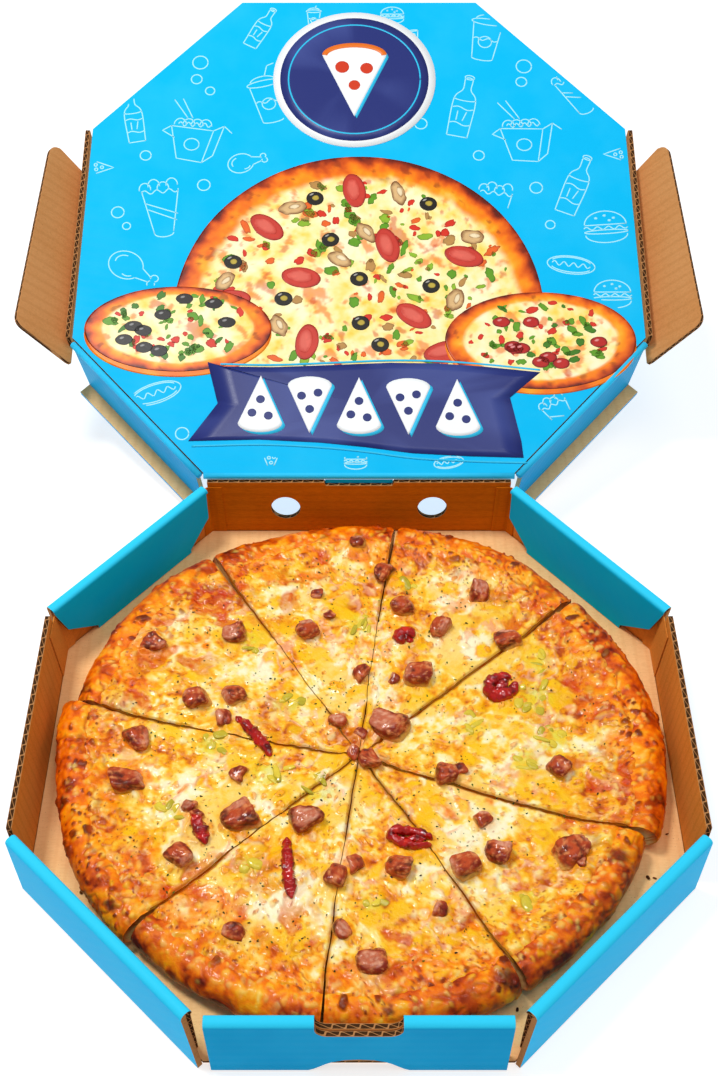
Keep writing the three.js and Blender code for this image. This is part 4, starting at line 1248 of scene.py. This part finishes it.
def inside_lid(path, margin=2.5):
    """Whether points lie inside the eight-sided outline, at least a margin from each side."""
    inside = np.ones(len(path), bool)
    for a, b in zip(LID_OUTLINE, np.roll(LID_OUTLINE, -1, axis=0)):
        inside &= (path - a) @ left_of(b - a) > margin * np.linalg.norm(b - a)
    return inside


def under_picture(path):
    """Whether points lie under one of the pictured pizzas, the badge or the ribbon."""
    x, u = path.T
    hidden = (np.abs(x) < 104) & (u > 12) & (u < 76)
    for cx, cu, across, along in (BIG_PIZZA, LEFT_PIZZA, RIGHT_PIZZA, (*BADGE, BADGE[2])):
        hidden |= (((x - cx) / (across + 2)) ** 2 + ((u - cu) / (along + 2)) ** 2 < 1) & (u > 56)
    return hidden


def printed_lines():
    """The line drawings and rings, kept clear of the pictures and inside the lid's outline."""
    made = []
    for kind, places in DRAWINGS.items():
        for x, u, size, turn in places:
            for path in PICTURES[kind]:
                path = stroke(path) if isinstance(path, list) else path
                path = turned(path * size, x, u, math.radians(turn))
                kept = inside_lid(path) & ~under_picture(path)
                runs = np.flatnonzero(np.diff(np.concatenate([[0], kept.astype(int), [0]])))
                for first, last in zip(runs[::2], runs[1::2]):
                    if last - first > 2:
                        made.append(ink_line(path[first:last], 0.85, 1, LINE))
    made += [ink_line(arc(x, u, size, size, 0, 358, 30), 0.9, 1, LINE) for x, u, size in RINGS]
    return joined(made)


def pictured(rim, seed, shape):
    """A colour function for a pictured pizza: a toasted rim beyond the share given, cheese inside."""
    x0, u0, wide, high = shape

    def tint(x, u, _):
        def uneven(size, step, octaves=3):
            return rough(x, u, size, seed + step, octaves)

        near = np.hypot((x - x0) / wide, (u - u0) / high) + 0.018 * uneven(9, 0)
        inner = shaded(CHEESE_RAMP, 0.86 + 0.30 * uneven(9, 3) + 0.10 * uneven(2.6, 5, 2))
        inner = paint(inner, ORANGE, ease(uneven(7, 7), 0.28, 0.55) * 0.7)
        inner = paint(inner, SAUCE, ease(uneven(8, 9), 0.42, 0.6) * 0.6)
        across = np.clip((near - rim) / (1 - rim), 0, 1)
        crust = shaded(RIM_RAMP, 0.74 - 0.72 * across**1.7 + 0.34 * uneven(7, 11))
        crust = paint(crust, BROWN, ease(uneven(5, 13, 2), 0.35, 0.6) * 0.6)
        return paint(inner, crust, ease(near, rim - 0.02, rim + 0.03))

    return tint


def printed_toppings():
    """The pictured toppings, small fields of ink on the pictured pizzas: ovals of salami, rings of
    olive, curls of mushroom and bits of green and red."""
    pick = np.random.default_rng(53)
    made = []

    def disc(x, u, across, along, turn, layer, inner, outer, limit, uneven):
        """An oval, darker beyond a share of its size, with a few lit patches."""

        def tint(a, b, r):
            shade = paint(inner, outer, ease(r, limit, 1.0))
            return paint(shade, inner * 1.25, 0.3 * (rough(a, b, 3, 251, 2) > 0.2))

        outline = oval(x, u, across, along, turn, 26, uneven, len(made) % 50)
        made.append(field_of_ink(outline, layer, tint, (0, 0.3, 0.6, 0.8, 0.92, 1)))

    def fleck(x, u, size, shade, layer):
        """A small ragged bit of any shape and turn."""
        across, along = size * pick.uniform(0.7, 1.3), size * pick.uniform(0.45, 0.8)
        disc(x, u, across, along, pick.uniform(0, 3.14), layer, shade, shade * 0.55, 0.7, 0.5)

    def place(shape, reach, nearest=0.0, shift=0.0):
        """A place strewn evenly over an ellipse."""
        x, u, across, along = shape
        turn, far = pick.uniform(0, TURN), reach * math.sqrt(pick.uniform(nearest, 1))
        return x + across * far * math.cos(turn), u + along * (shift + far * math.sin(turn))

    green, red, olive, herb = colours("5F9A1C D8301A 1E1A16 3E7A14")
    bits = [green, red, *colours("8CB52A E8641C B98A4A")]
    round_pizza = (*BIG_PIZZA[:3], BIG_PIZZA[2])
    for _ in range(300):
        x, u = place(round_pizza, 0.84)
        if u > 74:
            shade = bits[pick.integers(5)]
            fleck(x, u, pick.uniform(1.4, 4.8), shade, 3)
    for x, u in MUSHROOMS:
        turn = pick.uniform(0, 3.14)
        disc(x, u, 8, 5, turn, 4, *colours("D9B27A 7A4A20"), 0.6, 0.3)
        disc(x + 1, u + 1, 4, 1.8, turn, 5, *colours("F0DDB4 A87A44"), 0.5, 0.2)
    for k, (x, u) in enumerate(SALAMI):
        turn = pick.uniform(-0.7, 0.7) + (1.57 if k in UPRIGHT_SALAMI else 0)
        disc(x, u, 12.5, 7.2, turn, 5, *colours("C83A2C 8E1A14"), 0.86, 0.05)
        disc(x - 1, u + 1, 8.5, 4.2, turn, 6, *colours("DE6454 C83E30"), 0.5, 0.12)
    for x, u in OLIVES:
        disc(x, u, 5.6, 5.0, 0, 7, olive, colour("0A0808"), 0.8, 0.04)
        disc(x + 0.4, u + 0.3, 2.4, 2.0, 0, 8, *colours("B9A23C 4C4416"), 0.7, 0.1)
        disc(x - 2.2, u + 2.9, 1.6, 0.6, 0.5, 8, *colours("A9A6A0 5A5854"), 0.5, 0.1)
    for shape, main in ((LEFT_PIZZA, olive), (RIGHT_PIZZA, colour("B8201A"))):
        for _ in range(70):
            x, u = place(shape, 0.74, 0.0, 0.07)
            fleck(x, u, pick.uniform(1.6, 3.8), [green, red, herb, green][pick.integers(4)], 10)
        for _ in range(9):
            x, u = place(shape, 0.66, 0.05, 0.07)
            disc(x, u, 5.4, 3.8, 0, 11, main, main * 0.3, 0.7, 0.1)
            disc(x - 1.2, u + 1.2, 1.6, 0.8, 0.3, 12, main + 0.25, main + 0.1, 0.5, 0.1)
    return joined(made)


def wedge(x, u, wide, high, point):
    """A slice seen from above: two straight sides from its tip and an arc for its crust."""
    crust = arc(x, u + point * 0.34 * high, wide / 2, point * 0.16 * high, 180, 0, 12)
    return edged(np.concatenate([crust, [(x, u - point * 0.5 * high)]]))


def clouded(size, seed):
    """A colour function: navy ink, paler in clouds."""
    return lambda x, u, _: paint(NAVY, NAVY_LIFTED, ease(rough(x, u, size, seed), 0, 0.6))


def printed_marks():
    """The ribbon and the badge, with plain slices where words would stand."""
    upper = lined([(x, u + 1.6) for x, u in RIBBON[1:8]], 2.0)
    lower = lined([(x + 2, u - 3.4) for x, u in RIBBON[10:17]], 2.0)
    made = [field_of_ink(edged(RIBBON), 13, clouded(30, 261))]
    made += [ink_line(path, 1.3, 14, ECHO) for path in (upper, lower)]
    for k in range(5):
        x, point = -60 + 30 * k, 1 if k % 2 else -1
        u = 45.5 - 0.02 * x
        made.append(field_of_ink(wedge(x + 1.8, u - 1.6, 27, 38, point), 14, ECHO))
        made.append(field_of_ink(wedge(x, u, 27, 38, point), 15, WHITE))
        for dx, du in ((-5, 6), (5, 8), (0, -3)):
            made.append(field_of_ink(oval(x + dx, u + point * du, 2.7, 2.7), 16, NAVY))
    x, u, size = BADGE
    made.append(field_of_ink(oval(x, u, size + 3, size + 2, 0, 80), 13, WHITE))
    made.append(field_of_ink(oval(x, u, size - 1.5, size - 2.5, 0, 80), 14, clouded(26, 263)))
    made.append(ink_line(arc(x, u, size - 7, size - 8, 0, 359, 90), 1.2, 15, ECHO))
    made.append(field_of_ink(wedge(x + 1.5, u - 2.5, 42, 56, 1), 15, ECHO))
    made.append(field_of_ink(wedge(x, u - 1, 42, 56, 1), 16, WHITE))
    made.append(ink_line(arc(x, u + 18, 19.5, 8, 178, 2, 30), 4.2, 17, colour("E8731A")))
    for dx, du, wide in ((-8, 9, 4.6), (8, 8, 4.2), (0, -5, 3.8)):
        made.append(field_of_ink(oval(x + dx, u + du, wide, wide), 17, colour("D03A1C")))
    return joined(made)


def add_print():
    """Six sheets of ink on the lid, each a joined shell of flat fields and lines."""
    ink = print_finish("varnished print")
    body, slot = "lid", "printed_board"
    make_object("print_line_drawings", printed_lines(), body, slot, ink)
    rim = oval(*BIG_PIZZA, 0, 560, 0.008, 3)
    rim[:, 1] = np.maximum(rim[:, 1], BIG_PIZZA_FOOT)
    big = field_of_ink(rim, 2, pictured(0.86, 271, BIG_PIZZA), np.linspace(0, 1, 92))
    make_object("print_large_pizza", big, body, slot, ink)

    def shadow(x, u, _):
        """The side of a small pizza, seen below it."""
        return shaded(RIM_RAMP, 0.55 + 0.35 * rough(x, u, 9, 295, 2))

    for name, shape, seed in (("left", LEFT_PIZZA, 281), ("right", RIGHT_PIZZA, 291)):
        rim = oval(*shape, 0, 260, 0.01, 5)
        side = field_of_ink(rim - (0, 3.5), 8, shadow, np.linspace(0, 1, 30))
        top = field_of_ink(rim, 9, pictured(0.80, seed, shape), np.linspace(0, 1, 46))
        make_object(f"print_{name}_pizza", joined([side, top]), body, slot, ink)
    make_object("print_toppings", printed_toppings(), body, slot, ink)
    make_object("print_ribbon_and_badge", printed_marks(), body, slot, ink)


# --- Scene ---


def add_light(name, place, target, size, power):
    """A round soft light, its size and place in metres, turned to a target."""
    lamp = bpy.data.lights.new(name, "AREA")
    lamp.shape, lamp.size, lamp.energy = "DISK", size, power
    made = placed(name, lamp)
    made.location = place
    made.rotation_euler = (Vector(target) - Vector(place)).to_track_quat("-Z", "Y").to_euler()


def add_studio():
    """A pale floor, soft light from the back left and above, and a pale sky."""
    scene = bpy.context.scene
    scene.view_settings.view_transform = "Standard"
    f = Finish("studio floor")
    tone = f.mixed((0.55, 0.55, 0.55), (0.58, 0.58, 0.58), f.noise(300.0, 2.0))
    white = (1.0, 1.0, 1.0)
    pale = f.surfaced(tone, 0.9, Emission_Color=white, Emission_Strength=0.66, Specular_IOR_Level=0.0)
    mesh = bpy.data.meshes.new("studio_floor")
    half = 6.0
    corners = [(-half, -half, 0), (half, -half, 0), (half, half, 0), (-half, half, 0)]
    mesh.from_pydata(corners, [], [(0, 1, 2, 3)])
    mesh.materials.append(pale)
    floor = placed("studio_floor", mesh)
    floor.location.z = -0.0005

    world = bpy.data.worlds.new("studio")
    world.use_nodes = True
    sky = world.node_tree.nodes["Background"]
    sky.inputs["Color"].default_value = (1, 1, 1, 1)
    sky.inputs["Strength"].default_value = 0.34
    scene.world = world
    add_light("key light", (-0.50, 0.30, 1.45), (0, 0.05, 0), 0.34, 12.5)
    add_light("top light", (0.35, 0.0, 1.6), (0, 0, 0), 0.9, 7)


def add_camera():
    """Before the tray and above it, looking steeply down, with the view slid up the sheet."""
    eye = bpy.data.cameras.new("camera")
    eye.lens, eye.sensor_width, eye.shift_y = 40.2, 36.0, 0.2045
    made = placed("camera", eye)
    made.location = (0, -0.3628, 0.5562)
    made.rotation_euler = (math.radians(90 - 56.74), 0, 0)
    bpy.context.scene.camera = made


# --- Board ---

# Blue ink: the front's blue; the same blue painted lighter as painted light for the slanted walls; a paler
# blue for clouds and painted highlights; the lid's blue and its paler blue.
SKY, SLANTED, SKY_LIFTED, LID_BLUE, LID_LIFTED = colours("00A0D8 00C0FA 34D2FA 10BCF4 50D4FA")
# Bare board: its colour, its fibres' and its clouds'. One kraft in four copies: painted lighter as
# painted light for the tray's floor and side walls, darker as painted shade for the back wall, and
# tan for the lid and its flaps.
PALE_KRAFT, TAN_KRAFT = "FFCC8C ECB070 FFDAA2", "CF9056 B4763E DEA46C"
WARM_KRAFT, DEEP_KRAFT = "E08E3C BC7026 EEA450", "D4720E AC5806 DE841C"
ROLLED = ("front_wall", "front_left_wall", "front_right_wall", "back_left_wall", "back_right_wall")
PLATES = ("tray_floor", "back_wall", "left_wall", "right_wall")
SKIRTS = ("lid_skirt_left", "lid_skirt_right")
ALIKE = 0.97  # the cosine from which two faces count as facing the same way
SMALL_FACE = 0.12  # the share of the largest face below which a face is no layer
SHARP = math.radians(38)
WORN = 0.25  # width of the bevel on every edge
WEB = 0.25  # half the thickness of a web of board
MIDDLE = np.array([0, 0, 20.0])  # inside the tray
ROLL_HEIGHT = 40.5  # where a rolled wall starts to turn over
BACK_CORNER, SIDE_CORNER = (91.9, 170.8), (170.3, 76.2)  # the rear corners' insides, on the right
DIAGONAL = (0.641, -0.768)  # from the first of them to the second
FOLD_RADIUS, HINGE_RADIUS = 2.05, 1.9
FOLD_GAPS = (0.8, 3.0)  # how far a skirt's bar stays short of its two ends


def main_directions(normals, areas):
    """The directions that the board's layers face: the largest faces' normals, alike ones joined."""
    found = []
    for k in np.argsort(-areas):
        if areas[k] < SMALL_FACE * areas.max():
            break
        if all(abs(normals[k] @ d) < ALIKE for d in found):
            found.append(normals[k])
    return found


def cleaned(node):
    """A copy of a board node's mesh with its points joined, its flat faces whole and no attributes."""
    mesh = frame["nodes"][node].data.copy()
    mesh.name = f"{node}_board"
    work = bmesh.new()
    work.from_mesh(mesh)
    bmesh.ops.remove_doubles(work, verts=work.verts, dist=2e-6)
    bmesh.ops.dissolve_limit(work, angle_limit=math.radians(0.6), verts=work.verts, edges=work.edges)
    work.to_mesh(mesh)
    work.free()
    for quality in [a.name for a in mesh.attributes if not (a.is_required or a.name.startswith("."))]:
        mesh.attributes.remove(mesh.attributes[quality])
    return mesh


def board_piece(node, body, slot, material, print_side, base_up=(0, 0, 1), base_out=(0, 1, 0)):
    """A copy of a board node with its edges broken by a small bevel. Each face corner is told how far
    through the board and how far across the flutes it lies, at a cut by x + y + z, so that each one
    shows the wave. Each face is told whether it is a cut and whether it is printed.
    print_side(direction, centre) says which side of a layer is printed."""
    mesh = cleaned(node)
    count, corners = len(mesh.polygons), len(mesh.loops)
    points = read(mesh.vertices, "co", 3) / MM
    normals, centres = read(mesh.polygons, "normal", 3), read(mesh.polygons, "center", 3) / MM
    place = points[read(mesh.loops, "vertex_index", 1, np.int32)]
    owner = np.repeat(np.arange(count), read(mesh.polygons, "loop_total", 1, np.int32))

    across, along, crease = np.full(corners, 0.5), np.zeros(corners), np.zeros(corners)
    cut, printed = np.zeros(count), np.zeros(count)
    layers = []
    for d in main_directions(normals, read(mesh.polygons, "area")):
        levels = centres[np.abs(normals @ d) > ALIKE] @ d
        heights = np.unique(np.round(levels, 1))
        lows = [h for h in heights if np.any(np.abs(heights - h - BOARD) < 0.35)]
        turn = Vector(base_up).rotation_difference(Vector(d))
        layers.append((d, lows, np.array(turn @ Vector(base_out)), levels))
    for k in range(count):
        mine, spot = owner == k, centres[k]
        face = [layer for layer in layers if abs(normals[k] @ layer[0]) > ALIKE]
        if face:
            d, _, out, levels = face[0]
            along[mine] = place[mine] @ out
            printed[k] = print_side(normals[k], spot)
            if node in ROLLED and abs(d[2]) < 0.5:
                printed[k] = min(spot @ d - levels.min(), levels.max() - spot @ d) < 0.6
            continue
        inside = [
            (abs(normals[k] @ d), low, d)
            for d, lows, _, _ in layers
            for low in lows
            if -0.3 < spot @ d - low < BOARD + 0.3
        ]
        nearest = min(inside, key=lambda row: row[0]) if inside else (1,)
        if nearest[0] < 0.45:
            _, low, d = nearest
            cut[k] = 1
            across[mine] = np.clip((place[mine] @ d - low) / BOARD, 0, 1)
            along[mine] = place[mine].sum(1)
        else:
            printed[k] = print_side(normals[k], spot)
    if node in ROLLED:
        rolled = (centres[:, 2] > ROLL_HEIGHT) & (normals[:, 2] > 0.05)
        cut[rolled], printed[rolled] = 0, 1
        # Painted highlight: a rolled top's ink is painted paler the more it faces up.
        crease = ease(normals[owner, 2], 0.15, 0.75) * rolled[owner]
    if node in SKIRTS:
        folded = ((centres - HINGE) @ LID_UP > 0.9) & (normals @ LID_UP > 0.5)
        cut[folded], printed[folded] = 0, 1
        # Painted highlight: the ink on the skirt's fold is painted paler.
        crease = 0.6 * folded[owner]
    cut, printed = cut[owner], printed[owner]
    qualities = {"across": across, "along": along, "cut": cut, "printed": printed, "crease": crease}
    for quality, numbers in qualities.items():
        layer = mesh.attributes.new(quality, "FLOAT", "CORNER")
        layer.data.foreach_set("value", numbers.astype(np.float32))
    mesh.materials.clear()
    mesh.materials.append(material)
    mesh.shade_smooth()
    mesh.set_sharp_from_angle(angle=SHARP)
    made = placed(f"{node}_board", mesh)
    bevel = made.modifiers.new("worn edges", "BEVEL")
    bevel.width, bevel.segments, bevel.limit_method = WORN * MM, 2, "ANGLE"
    bevel.angle_limit = SHARP
    bevel.harden_normals = False
    declared(made, body, slot, (node,))


def board_tube(name, rings, body, slot, material, inked, crease=0.0, smooth=True):
    """A closed tube of board through rings of points. crease paints its ink paler, as a painted highlight."""
    points = capped(rings)
    along = points[..., 0]
    none = 0 * along
    shell = tube(points, along=along, across=none, cut=none, printed=none + inked, crease=none + crease)
    make_object(name, shell, body, slot, material, smooth)


def corner_tab(name, corner, first, second, high, material, inked=0.0):
    """A bent web of board inside the corner between two walls: upright from the floor to high, along
    the plan line from corner + first over the corner to corner + second."""
    corner, first, second = (np.array(v, float) for v in (corner, first, second))
    bend = np.linspace(0, 1, 7)[:, None]
    before, after = corner + first * 0.12, corner + second * 0.12
    bow = before * (1 - bend) ** 2 + corner * 2 * bend * (1 - bend) + after * bend**2
    path = np.concatenate([[corner + first], bow, [corner + second]])
    section = np.array([(-1, BOARD + 0.2), (1, BOARD + 0.2), (1, high), (-1, high)])
    plan = path[:, None] + WEB * beside(path)[:, None] * section[None, :, :1]
    rings = np.concatenate([plan, np.broadcast_to(section[None, :, 1:], plan.shape[:2] + (1,))], -1)
    board_tube(name, rings, "tray", "kraft_board", material, inked, smooth=False)


def crease_bar(name, start, end, radius, body, slot, material):
    """The fold of board between two panels, a round bar on the line that they turn about:
    start + s (end - start) + r (cos t a + sin t b)."""
    aside = np.cross((end - start) / np.linalg.norm(end - start), LID_UP)
    t = np.linspace(0, TURN, 21)[:-1, None]
    section = radius * (np.cos(t) * LID_UP + np.sin(t) * aside)
    rings = (start + np.linspace(0, 1, 5)[:, None] * (end - start))[:, None] + section[None]
    # Painted highlight: the bar's ink is painted paler, by a crease of 0.35.
    board_tube(name, rings, body, slot, material, 1.0, 0.35)


def everywhere(direction, centre):
    """Printed on both sides."""
    return 1.0


def outside(direction, centre):
    """Printed where a face looks away from the middle of the tray."""
    return direction @ ((centre - MIDDLE) * (1, 1, 0)) > 20


def towards(heading, least):
    """Printed where a face looks more than so far along a heading."""
    return lambda direction, centre: direction @ heading > least


def add_box():
    """The tray, the lid and its skirts, with webs in the corners and bars in the folds."""
    # The floor's and side walls' kraft is painted lighter as painted light, the back wall's darker as painted
    # shade.
    front = board_finish("sky blue board", SKY, SKY_LIFTED, WARM_KRAFT)
    # The slanted walls' blue is the front's, painted lighter as painted light.
    slanted = board_finish("sky blue board, slanted", SLANTED, SKY_LIFTED, WARM_KRAFT)
    flap = board_finish("tan board", SKY, SKY_LIFTED, TAN_KRAFT)
    floor = board_finish("pale board", SKY, SKY_LIFTED, PALE_KRAFT)
    back = board_finish("deep tan board", SKY, SKY_LIFTED, DEEP_KRAFT)
    lid = board_finish("lid board", LID_BLUE, LID_LIFTED, TAN_KRAFT)
    for node, material in zip(PLATES, (floor, back, front, front)):
        board_piece(node, "tray", "kraft_board", material, outside)
    for node in ROLLED:
        board_piece(node, "tray", "blue_board", front if node == "front_wall" else slanted, everywhere)
    for name, side in (("left", -1), ("right", 1)):
        rear, aside, slant = np.array([BACK_CORNER, SIDE_CORNER, DIAGONAL]) * (side, 1)
        corner_tab(f"back_corner_tab_{name}", rear, 6 * slant, (-side * 9, 0), 40, back)
        corner_tab(f"side_corner_tab_{name}", aside, (0, -20), -6 * slant, 38.5, front)
    board_piece("lid_panel", "lid", "printed_board", lid, everywhere, LID_UP, LID_OUT)
    for node in ("side_flap_left", "side_flap_right"):
        board_piece(node, "lid", "kraft_board", flap, towards(-LID_UP, 0.3), LID_UP, LID_OUT)
    for node, side in zip(SKIRTS, (-1, 1)):
        body = node.removeprefix("lid_")
        outer = towards(0.7 * (side * ACROSS - LID_OUT), 0.5)
        board_piece(node, body, "blue_board", floor, outer, LID_UP, LID_OUT)
        joint = next(j for j in frame["joints"] if j["child"] == body)
        fold, axis = np.array(joint["pos_m"]) / MM, np.array(joint["axis"])
        corners = HINGE + LID_OUTLINE[[0, 1]] * (side, 1) @ np.stack([ACROSS, LID_OUT])
        near, far = (corners - fold) @ axis
        inward = math.copysign(1, far - near)
        start = fold + (near + FOLD_GAPS[0] * inward) * axis
        end = fold + (far - FOLD_GAPS[1] * inward) * axis
        crease_bar(f"{node}_fold", start, end, FOLD_RADIUS, body, "blue_board", lid)
    reach = LID_OUTLINE[0, 0] * ACROSS
    hinge_ends = HINGE - reach, HINGE + reach
    crease_bar("lid_hinge_fold", *hinge_ends, HINGE_RADIUS, "lid", "printed_board", lid)
    corner_tab("hinge_notch_liner", (0, 174.0), (-20.4, 0), (20.4, 0), 43.35, lid, 1.0)


add_camera()
add_studio()
add_box()
add_print()
add_pizza()
add_toppings()
